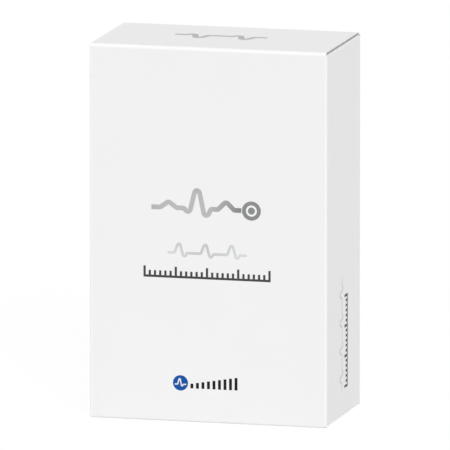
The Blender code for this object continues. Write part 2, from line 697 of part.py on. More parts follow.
def make_screws():
    """Four screws from the back, each with its head at the bottom of a well."""
    under_head = SCREW_SEAT + CONTACT_GAP
    profile = (
        (SCREW_SHANK_RADIUS, deep(under_head - SCREW_LENGTH)),
        (SCREW_SHANK_RADIUS, deep(under_head)),
        (SCREW_HEAD_RADIUS, deep(under_head)),
        (SCREW_HEAD_RADIUS, deep(under_head + SCREW_HEAD_HEIGHT)),
    )
    for number, (across, up) in enumerate(SCREW_PLACES, 1):
        piece("shell_screw_%d" % number, "steel", turned(profile, "Y", across, up + BASE_Z, TURN_STEPS))


def make_display():
    half = WINDOW_WIDTH / 2 - CONTACT_GAP
    glass = rounded(
        -half,
        WINDOW_BASE + CONTACT_GAP,
        half,
        WINDOW_TOP - CONTACT_GAP,
        WINDOW_CORNER - CONTACT_GAP,
    )
    piece("display_window", "window", slab(glass, 0, WINDOW_THICKNESS))
    half -= WINDOW_LEDGE / 2
    low, high = WINDOW_BASE + WINDOW_LEDGE / 2, WINDOW_TOP - WINDOW_LEDGE / 2
    module = rectangle(-half, low, half, high)
    piece("display_module", "display", slab(module, DISPLAY_FRONT, DISPLAY_FRONT + DISPLAY_THICKNESS))
    profile = ((LENS_RADIUS, deep(0)), (LENS_RADIUS, deep(LENS_LENGTH)))
    lens_up = RECORDER_HEIGHT - LENS_TOP_MARGIN + BASE_Z
    piece("status_lens", "display", turned(profile, "Y", 0, lens_up))


def key_outline(side, margin):
    half, high = KEY_WIDTH / 2 + margin, KEY_HEIGHT / 2 + margin
    centre = side * KEY_SPREAD
    return rounded(centre - half, KEY_UP - high, centre + half, KEY_UP + high, KEY_CORNER + margin)


def cap_steps():
    """How a cap's outline grows, in pairs of margin and depth, from its face to its flange."""
    flange = KEY_BACK - BUTTON_FLANGE_THICKNESS
    return (
        (-BUTTON_EDGE, -BUTTON_PROUD),
        (0, BUTTON_EDGE - BUTTON_PROUD),
        (0, flange),
        (BUTTON_FLANGE, flange),
        (BUTTON_FLANGE, KEY_BACK),
    )


def make_buttons():
    """The round event button, the two menu keys, and the switch that each one presses."""
    profile = [(BUTTON_RADIUS + margin, deep(level)) for margin, level in cap_steps()]
    up = BUTTON_HEIGHT_UP + BASE_Z
    origin = (0, deep(0), up)
    piece("event_button", "blue_plastic", turned(profile, "Y", 0, up), origin)
    places = [("event_switch", 0, BUTTON_HEIGHT_UP)]
    for name, side in (("back_key", -1), ("next_key", 1)):
        rings = [ring(across_up(key_outline(side, margin)), "Y", deep(level)) for margin, level in cap_steps()]
        piece(name, "grey_plastic", rings, (side * KEY_SPREAD, deep(0), KEY_UP + BASE_Z))
        places.append((name.replace("key", "switch"), side * KEY_SPREAD, KEY_UP))
    half = SWITCH_WIDTH / 2
    for name, across, up in places:
        outline = rectangle(across - half, up - half, across + half, up + half)
        piece(name, "steel", slab(outline, SWITCH_FRONT, SWITCH_FRONT + SWITCH_THICKNESS))


def hold_slot():
    """The slot in the left wall in which the hold switch slides."""
    half = HOLD_STEM_WIDTH / 2 + CONTACT_GAP
    low = HOLD_HEIGHT_UP - HOLD_STEM_LENGTH / 2 - HOLD_TRAVEL - CONTACT_GAP
    high = HOLD_HEIGHT_UP + HOLD_STEM_LENGTH / 2 + CONTACT_GAP
    middle = deep(HOLD_FROM_FRONT)
    outline = rectangle(middle - half, low + BASE_Z, middle + half, high + BASE_Z)
    return prism(outline, "X", -HALF_RECORDER - OVERRUN, OVERRUN + SHELL_WALL - HALF_RECORDER)


def make_hold_switch():
    middle, up = deep(HOLD_FROM_FRONT), HOLD_HEIGHT_UP + BASE_Z
    half_u, half_v = HOLD_KNOB_WIDTH / 2, HOLD_KNOB_LENGTH / 2
    edge = BUTTON_EDGE
    face = rectangle(middle - half_u + edge, up - half_v + edge, middle + half_u - edge, up + half_v - edge)
    knob = rectangle(middle - half_u, up - half_v, middle + half_u, up + half_v)
    half_u, half_v = HOLD_STEM_WIDTH / 2, HOLD_STEM_LENGTH / 2
    stem = rectangle(middle - half_u, up - half_v, middle + half_u, up + half_v)
    outside = -HALF_RECORDER - CONTACT_GAP
    rings = [
        ring(face, "X", outside - HOLD_KNOB_PROUD),
        ring(knob, "X", outside - HOLD_KNOB_PROUD + edge),
        ring(knob, "X", outside),
        ring(stem, "X", outside),
        ring(stem, "X", SHELL_WALL + HOLD_STEM_REACH - HALF_RECORDER),
    ]
    piece("hold_switch", "grey_plastic", rings, (outside, middle, up))


def make_board():
    """The main board, notched at its corners for the bosses, and the parts on its back."""
    inset = SHELL_WALL + PCB_MARGIN
    half, low, high = HALF_RECORDER - inset, inset, RECORDER_HEIGHT - inset
    notch = SCREW_INSET + BOSS_RADIUS + PCB_MARGIN - inset
    outline = [
        (notch - half, low),
        (half - notch, low),
        (half - notch, low + notch),
        (half, low + notch),
        (half, high - notch),
        (half - notch, high - notch),
        (half - notch, high),
        (notch - half, high),
        (notch - half, high - notch),
        (-half, high - notch),
        (-half, low + notch),
        (notch - half, low + notch),
    ]
    piece("main_board", "circuit_board", slab(outline, PCB_FRONT, PCB_BACK))
    parts = (
        ("processor_chip", "chip", 0, PROCESSOR_UP, PROCESSOR_WIDTH, PROCESSOR_WIDTH, CHIP_THICKNESS),
        ("amplifier_chip", "chip", AMPLIFIER_ACROSS, PROCESSOR_UP, AMPLIFIER_WIDTH, AMPLIFIER_WIDTH, CHIP_THICKNESS),
        ("memory_card", "chip", -MEMORY_ACROSS, MEMORY_UP, MEMORY_WIDTH, MEMORY_HEIGHT, MEMORY_THICKNESS),
    )
    for name, finish, across, up, wide, tall, thick in parts:
        outline = rectangle(across - wide / 2, up - tall / 2, across + wide / 2, up + tall / 2)
        piece(name, finish, slab(outline, CHIP_FRONT, CHIP_FRONT + thick))
    profile = ((BUZZER_RADIUS, deep(CHIP_FRONT)), (BUZZER_RADIUS, deep(CHIP_FRONT + BUZZER_HEIGHT)))
    piece("buzzer", "chip", turned(profile, "Y", BUZZER_ACROSS, BUZZER_UP + BASE_Z))


def lead_socket_rings(margin, low, high):
    """The lead socket's outline, grown by a margin, between two heights on the recorder."""
    half, deep_half = LEAD_SOCKET_WIDTH / 2 + margin, LEAD_SOCKET_DEPTH / 2 + margin
    middle = deep(LEAD_SOCKET_CENTRE)
    outline = rounded(-half, middle - deep_half, half, middle + deep_half, LEAD_SOCKET_CORNER + margin)
    return prism(outline, "Z", low + BASE_Z, high + BASE_Z)


def data_socket_rings(margin, low, high):
    """The data socket's outline, grown by a margin, between two places across the recorder."""
    half_u, half_v = DATA_SOCKET_THICKNESS / 2 + margin, DATA_SOCKET_WIDTH / 2 + margin
    middle, up = deep(DATA_SOCKET_CENTRE), DATA_SOCKET_UP + BASE_Z
    outline = rounded(middle - half_u, up - half_v, middle + half_u, up + half_v, half_u / 2)
    return prism(outline, "X", low, high)


def make_sockets():
    """The lead socket on the top end and the data socket in the right side, with its cover."""
    under_wall = RECORDER_HEIGHT - SHELL_WALL - CONTACT_GAP
    low, high = under_wall - LEAD_SOCKET_BASE, RECORDER_HEIGHT + LEAD_SOCKET_PROUD
    flange = lead_socket_rings(LEAD_SOCKET_FLANGE, low, under_wall)
    socket = piece("lead_socket", "grey_plastic", flange)
    carve(socket, "shroud", [lead_socket_rings(0, low + LEAD_SOCKET_BASE / 2, high)], "UNION")
    carve(socket, "mouth", [lead_socket_rings(-LEAD_SOCKET_WALL, under_wall - LEAD_SOCKET_BASE / 2, high + OVERRUN)])
    inner = HALF_RECORDER - DATA_SOCKET_LENGTH
    data = piece("data_socket", "steel", data_socket_rings(0, inner, HALF_RECORDER))
    mouth = data_socket_rings(-DATA_SOCKET_WALL, inner + DATA_SOCKET_FLOOR, HALF_RECORDER + OVERRUN)
    carve(data, "mouth", [mouth])
    middle, up = deep(DATA_SOCKET_CENTRE), DATA_SOCKET_UP + BASE_Z
    half_u, half_v = PORT_COVER_WIDTH / 2, PORT_COVER_LENGTH / 2
    outside = HALF_RECORDER + CONTACT_GAP
    outline = rounded(middle - half_u, up - half_v, middle + half_u, up + half_v, half_u / 2)
    cover = prism(outline, "X", outside, outside + PORT_COVER_THICKNESS)
    piece("port_cover", "rubber", cover, (outside, middle, up - half_v))


def make_cells():
    """Two cells side by side, one each way up, with a spring and a flat contact for each."""
    levels = (
        (CELL_RADIUS - CELL_EDGE, 0),
        (CELL_RADIUS, CELL_EDGE),
        (CELL_RADIUS, CELL_LENGTH - CELL_NUB_HEIGHT - CELL_EDGE),
        (CELL_RADIUS - CELL_EDGE, CELL_LENGTH - CELL_NUB_HEIGHT),
        (CELL_NUB_RADIUS, CELL_LENGTH - CELL_NUB_HEIGHT),
        (CELL_NUB_RADIUS, CELL_LENGTH),
    )
    low, high = BAY_END_WALL + BASE_Z, BAY_TOP + BASE_Z
    middle = deep(CELL_CENTRE)
    for name, side in (("left", -1), ("right", 1)):
        across = side * CELL_SPREAD
        if side < 0:
            profile = [(radius, high - CELL_LOW - CELL_LENGTH + level) for radius, level in levels]
            contact_low = high - CONTACT_GAP - CONTACT_THICKNESS
            spring_low = low + CONTACT_GAP
            start, end = BATTERY_SPRING_WIDE, BATTERY_SPRING_NARROW
        else:
            profile = [(radius, low + CELL_LOW + CELL_LENGTH - level) for radius, level in levels]
            contact_low = low + CONTACT_GAP
            spring_low = high - CONTACT_GAP - BATTERY_SPRING_LENGTH
            start, end = BATTERY_SPRING_NARROW, BATTERY_SPRING_WIDE
        piece("battery_cell_" + name, "cell", turned(profile, "Z", across, middle))
        half = CONTACT_WIDTH / 2
        outline = rectangle(across - half, middle - half, across + half, middle + half)
        contact = prism(outline, "Z", contact_low, contact_low + CONTACT_THICKNESS)
        piece("battery_contact_" + name, "steel", contact)
        wire = coil(
            (across, middle, spring_low),
            "Z",
            BATTERY_SPRING_LENGTH,
            start,
            end,
            BATTERY_WIRE_RADIUS,
            BATTERY_SPRING_TURNS,
        )
        piece("battery_spring_" + name, "steel", wire)


def make_battery_door():
    """A door that lies flush in the back and slides off past the lower end."""
    front, back = deep(DOOR_FRONT), deep(RECORDER_DEPTH)
    low, high = BASE_Z, BASE_Z + DOOR_TOP
    outline = [(front, low), (back - EDGE_ROUND, low)]
    outline += arc(back - EDGE_ROUND, low + EDGE_ROUND, EDGE_ROUND, 270, 360, CORNER_STEPS)[1:]
    outline += [(back, high), (front, high)]
    door = prism(outline, "X", -DOOR_HALF_WIDTH, DOOR_HALF_WIDTH)
    piece("battery_door", "white_plastic", door, (0, back, low))


def pin_rings(radius, low, high):
    """A round bar on the belt clip's hinge line."""
    return turned(((radius, low), (radius, high)), "X", deep(CLIP_PIN_BACK), CLIP_PIN_UP + BASE_Z)


def ear(side):
    """One of the two ears on the back that carry the clip's pin."""
    middle, up = deep(CLIP_PIN_BACK), CLIP_PIN_UP + BASE_Z
    root = deep(RECORDER_DEPTH - SHELL_WALL / 2)
    outline = [(root, up - EAR_RADIUS), *arc(middle, up, EAR_RADIUS, -90, 90, 2 * CORNER_STEPS)]
    outline.append((root, up + EAR_RADIUS))
    ends = sorted((side * EAR_HALF_SPAN, side * (EAR_HALF_SPAN + EAR_THICKNESS)))
    return prism(outline, "X", ends[0], ends[1])


def make_belt_clip():
    """A sprung clip: a thumb pad above its pin and an arm with a nose below it."""
    middle, up = deep(CLIP_PIN_BACK), CLIP_PIN_UP + BASE_Z
    back, plate = deep(CLIP_BACK), deep(CLIP_BACK - CLIP_PLATE)
    nose = deep(RECORDER_DEPTH + CLIP_NOSE_CLEARANCE)
    tip, pad = up - CLIP_ARM_LENGTH, up + CLIP_PAD_LENGTH
    barrel = math.degrees(math.acos((CLIP_BARREL_RADIUS - CLIP_PLATE) / CLIP_BARREL_RADIUS))
    outline = [(back, tip), (back, pad), (plate, pad)]
    outline += arc(middle, up, CLIP_BARREL_RADIUS, barrel, 360 - barrel, 2 * CORNER_STEPS)
    outline += [(plate, tip + CLIP_NOSE_HEIGHT), (nose, tip + CLIP_NOSE_HEIGHT / 2), (nose, tip)]
    half = CLIP_WIDTH / 2
    hinge = (0, middle, up)
    clip = piece("belt_clip", "white_plastic", prism(outline, "X", -half, half), hinge)
    carve(clip, "pin_bore", [pin_rings(CLIP_PIN_RADIUS + CONTACT_GAP, -half - OVERRUN, half + OVERRUN)])
    room = CLIP_SPRING_WIDTH / 2 + CONTACT_GAP
    tall = CLIP_BARREL_RADIUS + CONTACT_GAP
    low, high = (-room, middle - tall, up - tall), (room, back + OVERRUN, up + tall)
    carve(clip, "spring_window", [block(low, high)])
    reach = EAR_HALF_SPAN + EAR_THICKNESS
    piece("clip_pin", "steel", pin_rings(CLIP_PIN_RADIUS, -reach, reach))
    spring = coil(
        (-CLIP_SPRING_WIDTH / 2, middle, up),
        "X",
        CLIP_SPRING_WIDTH,
        CLIP_SPRING_RADIUS,
        CLIP_SPRING_RADIUS,
        CLIP_WIRE_RADIUS,
        CLIP_SPRING_TURNS,
    )
    piece("clip_spring", "steel", spring)


def main():
    clear_scene()
    make_walls()
    make_glue_flap()
    make_lid()
    make_tuck_flap()
    make_dust_flaps()
    make_bottom()
    make_guide()
    make_cradle()
    make_front_shell()
    make_rear_shell()
    make_seal()
    make_screws()
    make_display()
    make_buttons()
    make_hold_switch()
    make_board()
    make_sockets()
    make_cells()
    make_battery_door()
    make_belt_clip()
    settle_booleans()


main()
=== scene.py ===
# Looks of a boxed heart recorder: a white folding carton with rounded creases, raw cut
# edges and a plain printed face, and the finishes of everything that stands inside it.
import json
import math

import bmesh
import bpy
import numpy as np
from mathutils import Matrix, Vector

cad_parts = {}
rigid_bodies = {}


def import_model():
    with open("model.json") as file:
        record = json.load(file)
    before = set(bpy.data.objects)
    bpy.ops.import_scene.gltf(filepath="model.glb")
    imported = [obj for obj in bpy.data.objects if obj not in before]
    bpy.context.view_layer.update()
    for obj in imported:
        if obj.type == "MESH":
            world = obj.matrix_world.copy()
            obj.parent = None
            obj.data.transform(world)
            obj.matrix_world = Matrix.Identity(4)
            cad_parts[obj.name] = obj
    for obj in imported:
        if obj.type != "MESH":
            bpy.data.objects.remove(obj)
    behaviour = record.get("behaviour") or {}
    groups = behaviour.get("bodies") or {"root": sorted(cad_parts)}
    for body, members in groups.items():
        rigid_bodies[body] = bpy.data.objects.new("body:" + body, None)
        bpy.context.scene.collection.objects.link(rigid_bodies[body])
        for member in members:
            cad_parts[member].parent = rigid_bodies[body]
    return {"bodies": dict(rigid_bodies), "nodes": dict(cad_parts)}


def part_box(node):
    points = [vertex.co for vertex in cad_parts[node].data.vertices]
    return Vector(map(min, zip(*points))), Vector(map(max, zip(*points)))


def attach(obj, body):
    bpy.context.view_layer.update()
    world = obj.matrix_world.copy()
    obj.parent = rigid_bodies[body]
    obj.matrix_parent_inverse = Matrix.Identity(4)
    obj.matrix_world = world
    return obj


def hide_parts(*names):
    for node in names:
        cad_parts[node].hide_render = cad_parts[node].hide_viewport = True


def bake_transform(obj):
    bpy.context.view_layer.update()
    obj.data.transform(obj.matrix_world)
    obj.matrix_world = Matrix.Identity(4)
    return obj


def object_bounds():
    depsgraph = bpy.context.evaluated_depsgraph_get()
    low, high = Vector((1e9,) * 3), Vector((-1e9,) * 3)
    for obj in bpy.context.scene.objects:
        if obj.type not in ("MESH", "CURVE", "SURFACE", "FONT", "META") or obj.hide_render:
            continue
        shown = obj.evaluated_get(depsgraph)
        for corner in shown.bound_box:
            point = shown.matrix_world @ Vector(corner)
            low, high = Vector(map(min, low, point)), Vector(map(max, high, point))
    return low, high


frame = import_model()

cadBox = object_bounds()
nodes = frame["nodes"]

# Where the carton stands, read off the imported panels
lidLow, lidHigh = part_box("lid_panel")
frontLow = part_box("front_panel")[0]
backLow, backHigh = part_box("back_panel")
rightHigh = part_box("right_side_panel")[1]
glueLow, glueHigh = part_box("glue_flap")
dustLow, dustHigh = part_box("right_dust_flap")
tuckLow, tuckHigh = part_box("tuck_flap")
outerLow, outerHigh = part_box("bottom_outer_flap")
innerLow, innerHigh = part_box("bottom_inner_flap")
sideLow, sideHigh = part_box("bottom_right_flap")
halfWide = rightHigh.x
frontY, backY = frontLow.y, backHigh.y
boardThick = lidHigh.z - lidLow.z


# Shapes: every one is a row of closed rings, worked out as whole arrays


# A line through the corners, with an arc tangent to both legs at each inner corner. A leg runs
# from the arc before it to the arc after it. The arc's points are its centre plus its radius
# times the first leg's normal, turned step by step to the second leg's. Gives the points, their
# normals on the outward side, and the number of the leg that each point is on, with a half added
# on an arc, and how far each point is from the nearest arc. Stops are more points on a leg, by
# its number, and near has the distances from each arc at which its legs get a point too. Of
# points that fall together, the first one stays.
def roundedPath(corners, radii, outward=1, stops=None, arcSteps=8, near=()):
    corners = np.array(corners, float)
    legs = np.diff(corners, axis=0)
    lengths = np.linalg.norm(legs, axis=1)
    along = legs / lengths[:, None]
    across = np.stack([along[:, 1], -along[:, 0]], axis=1)
    cross = along[:-1, 0] * along[1:, 1] - along[:-1, 1] * along[1:, 0]
    turns = np.arctan2(cross, (along[:-1] * along[1:]).sum(axis=1))
    trims = np.concatenate([[0], np.array(radii) * np.tan(np.abs(turns) / 2), [0]])
    points, normals, places, gaps = [], [], [], []
    for leg in range(len(legs)):
        first, last = trims[leg], lengths[leg] - trims[leg + 1]
        onLeg = [first, last, *(stops or {}).get(leg, ())]
        onLeg += [first + step for step in near if leg > 0]
        onLeg += [last - step for step in near if leg < len(legs) - 1]
        steps = np.unique(np.clip(np.round(onLeg, 9), first, last))
        before = steps - first if leg > 0 else lengths[leg]
        after = last - steps if leg < len(legs) - 1 else lengths[leg]
        points.append(corners[leg] + steps[:, None] * along[leg])
        normals.append(np.repeat(across[leg][None], len(steps), axis=0))
        places.append(np.full(len(steps), float(leg)))
        gaps.append(np.minimum(before, after) * np.ones(len(steps)))
        if leg < len(legs) - 1:
            sign = np.sign(turns[leg])
            angles = np.linspace(0, abs(turns[leg]), arcSteps + 1)[1:-1, None]
            turned = across[leg] * np.cos(angles) + sign * along[leg] * np.sin(angles)
            centre = corners[leg] + last * along[leg] - sign * radii[leg] * across[leg]
            points.append(centre + sign * radii[leg] * turned)
            normals.append(turned)
            places.append(np.full(len(turned), leg + 0.5))
            gaps.append(np.zeros(len(turned)))
    lists = (points, normals, places, gaps)
    points, normals, places, gaps = [np.concatenate(one) for one in lists]
    apart = np.append(True, np.linalg.norm(np.diff(points, axis=0), axis=1) > 0.00000001)
    return points[apart], outward * normals[apart], places[apart], gaps[apart]


# Three arrays as points. The plane names what a and b measure: c is the third axis.
def inSpace(plane, a, b, c):
    order = {"xy": (a, b, c), "yz": (c, a, b), "xz": (a, c, b)}[plane]
    return np.stack(np.broadcast_arrays(*order), axis=-1)


# A point's two coordinates in a plane. Two that are given already stay as they are.
def inPlane(plane, point):
    point = np.array(point)
    return point if len(point) == 2 else point[["xyz".index(axis) for axis in plane]]


# A new object in the scene.
def linked(name, data):
    made = bpy.data.objects.new(name, data)
    bpy.context.scene.collection.objects.link(made)
    return made


sharpAngle = math.radians(35)


# One mesh from several shells. A shell is an array of rings by points by 3: neighbouring rings
# are joined by four-sided faces and the first and last ring are closed over. A shell whose last
# ring is its first one again is a loop, with no ends to close. Points that fall together become
# one, so no face is without area.
def meshFromRings(name, shells, materials, stripMaterials=None):
    corners, faces, slots = [], [], []
    base = 0
    for rings in shells:
        count, size = rings.shape[:2]
        place = np.arange(count * size).reshape(count, size) + base
        looped = np.allclose(rings[0], rings[-1], rtol=0, atol=1e-9)
        if looped:
            rings, place[-1] = rings[:-1], place[0]
        following = np.roll(place, -1, axis=1)
        sides = np.stack([place[:-1], following[:-1], following[1:], place[1:]], axis=-1)
        ends = [] if looped else [place[0][::-1].tolist(), place[-1].tolist()]
        faces += sides.reshape(-1, 4).tolist() + ends
        strips = stripMaterials or [0] * (size + 1)
        slots += list(strips[:size]) * (count - 1) + [strips[size]] * len(ends)
        corners.append(rings.reshape(-1, 3))
        base += rings.shape[0] * size
    mesh = bpy.data.meshes.new(name)
    mesh.from_pydata(np.concatenate(corners).tolist(), [], faces)
    mesh.polygons.foreach_set("material_index", np.array(slots, np.int32))
    shape = bmesh.new()
    shape.from_mesh(mesh)
    bmesh.ops.remove_doubles(shape, verts=shape.verts, dist=0.0000001)
    bmesh.ops.recalc_face_normals(shape, faces=shape.faces)
    shape.to_mesh(mesh)
    shape.free()
    mesh.shade_smooth()
    mesh.set_sharp_from_angle(angle=sharpAngle)
    for material in materials:
        mesh.materials.append(material)
    return linked(name, mesh)


# A folded strip of board: its path is the printed side, its thickness goes inwards along the
# normals, and low and high are its two cut edges at each point of the path. A point attribute
# paints a highlight on its folds by whitening the colour: all of it on an arc, and less to each side.
def boardShell(name, plane, path, low, high, stretch=0.5):
    points, normals, _, gaps = path
    inside = points - normals * boardThick
    sides = ((points, low), (points, high), (inside, high), (inside, low))
    rings = np.stack([inSpace(plane, *line.T, edge) for line, edge in sides], axis=1)
    made = meshFromRings(name, [rings], board, [0, 2, 1, 2, 2])
    share = stretch * np.clip(1 - gaps / carton["lap"], 0, 1)
    fold = made.data.attributes.new("fold", "FLOAT", "POINT")
    fold.data.foreach_set("value", np.repeat(share, len(sides)).astype(np.float32))
    return made


# Finishes


# A material with the values that are the same all over it. Gives its tree and shader too.
def newFinish(name, colour, roughness, metallic=0.0, **sockets):
    material = bpy.data.materials.new(name)
    material.use_nodes = True
    tree = material.node_tree
    shader = tree.nodes["Principled BSDF"]
    shader.inputs["Base Color"].default_value = (*colour, 1)
    shader.inputs["Roughness"].default_value = roughness
    shader.inputs["Metallic"].default_value = metallic
    for socket, value in sockets.items():
        shader.inputs[socket.replace("_", " ")].default_value = value
    return material, tree, shader


# One node, with its settings, and its sockets set or linked.
def addNode(tree, kind, inputs=None, **settings):
    node = tree.nodes.new(kind)
    for setting, value in settings.items():
        setattr(node, setting, value)
    for socket, value in (inputs or {}).items():
        if isinstance(value, bpy.types.NodeSocket):
            tree.links.new(value, node.inputs[socket])
        else:
            node.inputs[socket].default_value = value
    return node


# Object coordinates, turned and stretched.
def placeOf(tree, stretch=(1, 1, 1), turn=(0, 0, 0)):
    place = addNode(tree, "ShaderNodeTexCoord").outputs["Object"]
    inputs = {"Vector": place, "Scale": stretch, "Rotation": turn}
    return addNode(tree, "ShaderNodeMapping", inputs).outputs["Vector"]


# Noise with that many cells to the metre.
def noiseOf(place, scale, detail=2.0):
    inputs = {"Vector": place, "Scale": scale, "Detail": detail}
    return addNode(place.id_data, "ShaderNodeTexNoise", inputs).outputs["Fac"]


# A value carried from one range to another, and held at its ends.
def rangeOf(value, low, high, fromLow=0.3, fromHigh=0.7):
    inputs = {"Value": value, "From Min": fromLow, "From Max": fromHigh}
    inputs.update({"To Min": low, "To Max": high})
    return addNode(value.id_data, "ShaderNodeMapRange", inputs).outputs["Result"]


# A step of arithmetic on one value or two.
def mathOf(operation, first, second=0.0):
    inputs = {0: first, 1: second}
    return addNode(first.id_data, "ShaderNodeMath", inputs, operation=operation).outputs["Value"]


# A colour between two others. Each is a colour or another node's output.
def mixOf(share, first, second):
    colours = [one if isinstance(one, bpy.types.NodeSocket) else (*one, 1) for one in (first, second)]
    inputs = {0: share, 6: colours[0], 7: colours[1]}  # the mix node's factor and its two colours
    return addNode(share.id_data, "ShaderNodeMix", inputs, data_type="RGBA").outputs[2]


# A relief whose height is in metres.
def bumpOf(height, distance, strength, normal=None):
    inputs = {"Height": height, "Distance": distance, "Strength": strength}
    if normal is not None:
        inputs["Normal"] = normal
    return addNode(height.id_data, "ShaderNodeBump", inputs).outputs["Normal"]


# Links values to a shader's sockets, in place of what fed them.
def feed(shader, **values):
    for socket, value in values.items():
        shader.id_data.links.new(value, shader.inputs[socket.replace("_", " ")])


# What feeds a shader's socket.
def fed(shader, socket):
    return shader.inputs[socket].links[0].from_socket


# The X, Y and Z of a place on a piece, and of the direction that it faces there.
def placeAndFacing(tree):
    place = addNode(tree, "ShaderNodeTexCoord").outputs["Object"]
    facing = addNode(tree, "ShaderNodeNewGeometry").outputs["Normal"]
    vectors = (place, facing)
    return [addNode(tree, "ShaderNodeSeparateXYZ", {"Vector": one}).outputs for one in vectors]


# The common finish: a colour that drifts between two tones, and a fine raised grain. The grain is
# noise with that many cells to the metre, and its relief is in metres.
def grained(name, light, dark, roughness, grain, relief, clouds=40, spread=0.06, **sockets):
    material, tree, shader = newFinish(name, light, roughness, **sockets)
    place = placeOf(tree)
    drift = rangeOf(noiseOf(place, clouds), 0, 1)
    fine = noiseOf(place, grain, 3.0)
    gloss = rangeOf(fine, roughness - spread, roughness + spread)
    tooth = bumpOf(fine, relief, 0.5)
    feed(shader, Base_Color=mixOf(drift, light, dark), Roughness=gloss, Normal=tooth)
    return material, tree, shader


boardLook = {
    "coated": (0.885, 0.885, 0.886),
    "coatedShade": (0.879, 0.879, 0.881),
    # the white that the painted highlight on the folds goes to
    "highlightWhite": (0.99, 0.99, 0.99),
    "plain": (0.80, 0.79, 0.77),
    "plainShade": (0.765, 0.755, 0.73),
    # the cut edge is darker than the real board's edge: painted shade for the slit under the lid's side
    # edges
    "edge": (0.53, 0.525, 0.52),
    "edgeShade": (0.46, 0.455, 0.45),
}


# Clay-coated white board: nearly even, with a very fine tooth and a low sheen. Its colour is
# whitened along the folds by a painted highlight, as far as each point's attribute gives.
def coatedBoard():
    look = (boardLook["coated"], boardLook["coatedShade"])
    sheen = {"clouds": 30, "spread": 0.03, "Coat_Weight": 0.12, "Coat_Roughness": 0.25}
    material, tree, shader = grained("coatedBoard", *look, 0.42, 2600, 0.000004, **sheen)
    fold = addNode(tree, "ShaderNodeAttribute", attribute_name="fold").outputs["Fac"]
    feed(shader, Base_Color=mixOf(fold, fed(shader, "Base Color"), boardLook["highlightWhite"]))
    return material


# The uncoated inside, with short fibres.
def plainBoard():
    look = (boardLook["plain"], boardLook["plainShade"])
    return grained("plainBoard", *look, 0.85, 1800, 0.00001)[0]


# The board's cut edge, which shows its grey layers, darker still as painted shade for the lid's slit.
def cutEdgeAndSlitShade():
    look = (boardLook["edge"], boardLook["edgeShade"])
    return grained("cutEdgeAndSlitShade", *look, 0.9, 5000, 0.00002, clouds=900)[0]


board = [coatedBoard(), plainBoard(), cutEdgeAndSlitShade()]
print("board finishes made")

# The carton. A piece that crosses a crease starts the lap below it, on the flat panel, so that
# the line where two pieces meet lies on one surface.

carton = {
    "lidRadius": 0.0013,  # the fold at the lid's hinge
    "tuckRadius": 0.0010,
    "dustRadius": 0.0011,
    "uprightRadius": 0.0007,  # the four upright folds
    "bottomRadius": 0.0008,
    "foot": 0.0002,  # the side and rear creases' height over the floor
    "cornerReach": 0.0008,  # how far those creases run past the ends of their flaps
    "cornerLift": 0.0004,  # how far the walls stop above the foot at the corners
    "ramp": 0.0021,  # the side and rear bottom flaps rise to their own layer over this width
    "rampRadius": 0.0015,
    "lap": 0.0006,
    "near": (0.0001, 0.0003, 0.0006),
    "step": 0.00002,
    "dustDrop": 0.00046,  # the dust flaps lie this far below their crease lines
    "creaseGap": 0.0001,  # how far their creases stop before the upright folds
    "shoulder": 0.0005,  # how far the side panels stop below their flap's upper side
    "leftCreaseHighlight": 0.6,  # the painted highlight's strength on the upright folds
    "rightCreaseHighlight": 0.3,
    "lidCreaseHighlight": 0.6,
    "tuckCorner": 0.0090,
    "dustCorner": 0.0060,
    "lidCorner": 0.0012,
    "tuckLean": 10,  # degrees
    "glueTaper": 0.0050,
    "dustTaper": 20,  # degrees
}


# The two ends of a dust flap's crease, which is longer than the flap.
def dustCrease(side):
    rear = backY if side > 0 else glueHigh.y
    room = carton["uprightRadius"] + carton["creaseGap"]
    return frontY + room, rear - room


# The four walls and the glue flap, one board folded round upright creases.
def sleeve():
    radius = carton["uprightRadius"]
    dustSeam = dustHigh.z - carton["dustDrop"] - carton["dustRadius"] - carton["lap"]
    lidSeam = lidHigh.z - carton["lidRadius"] - carton["lap"]
    shoulder = dustHigh.z - carton["shoulder"]
    foot = carton["bottomRadius"] + carton["lap"]
    sideEnd, backEnd = sideHigh.y + carton["cornerReach"], innerHigh.x + carton["cornerReach"]
    corners = [
        (glueHigh.x, glueHigh.y),
        (-halfWide, glueHigh.y),
        (-halfWide, frontY),
        (halfWide, frontY),
        (halfWide, backY),
        (backLow.x, backY),
    ]
    step = carton["step"]
    left, right = dustCrease(-1), dustCrease(1)
    ends = ((*left, -sideEnd, sideEnd), (*right, -sideEnd, sideEnd), (-backEnd, backEnd))
    cuts = [np.add.outer(some, (-step, step)).ravel() for some in ends]
    stops = {1: glueHigh.y - cuts[0], 3: cuts[1] - frontY, 4: halfWide - cuts[2]}
    path = roundedPath(corners, [radius] * 4, 1, stops, 8, carton["near"])
    x, y = path[0].T
    leg = path[2]
    onGlue = leg == 0
    onFront = (leg >= 1.5) & (leg <= 2.5) & (np.abs(x) < lidHigh.x)
    onBack = leg >= 4
    onSide = np.abs(x) > halfWide - radius / 4
    onCrease = onSide & (y > left[0]) & (y < np.where(x > 0, right[1], left[1]))
    high = np.where(onCrease, dustSeam, shoulder)
    high = np.where(onFront, lidSeam, high)
    high = np.where(onBack, backHigh.z, high)
    creased = (onSide & (np.abs(y) < sideEnd)) | (onBack & (np.abs(x) < backEnd))
    low = carton["foot"] + np.where(creased, foot, carton["cornerLift"])
    low = np.where(onFront, foot, low)
    share = np.clip((x - glueLow.x) / (glueHigh.x - glueLow.x), 0, 1) * carton["glueTaper"]
    low = np.where(onGlue, glueLow.z + share, low)
    high = np.where(onGlue, glueHigh.z - share, high)
    # The upright folds get a painted highlight, stronger on the left one, which lies in shade.
    stretch = np.where(x < 0, carton["leftCreaseHighlight"], carton["rightCreaseHighlight"])
    made = boardShell("cartonSleeve", "xy", path, low, high, stretch)
    walls = ("front_panel", "back_panel", "left_side_panel", "right_side_panel", "glue_flap")
    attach(made, "carton")
    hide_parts(*walls)


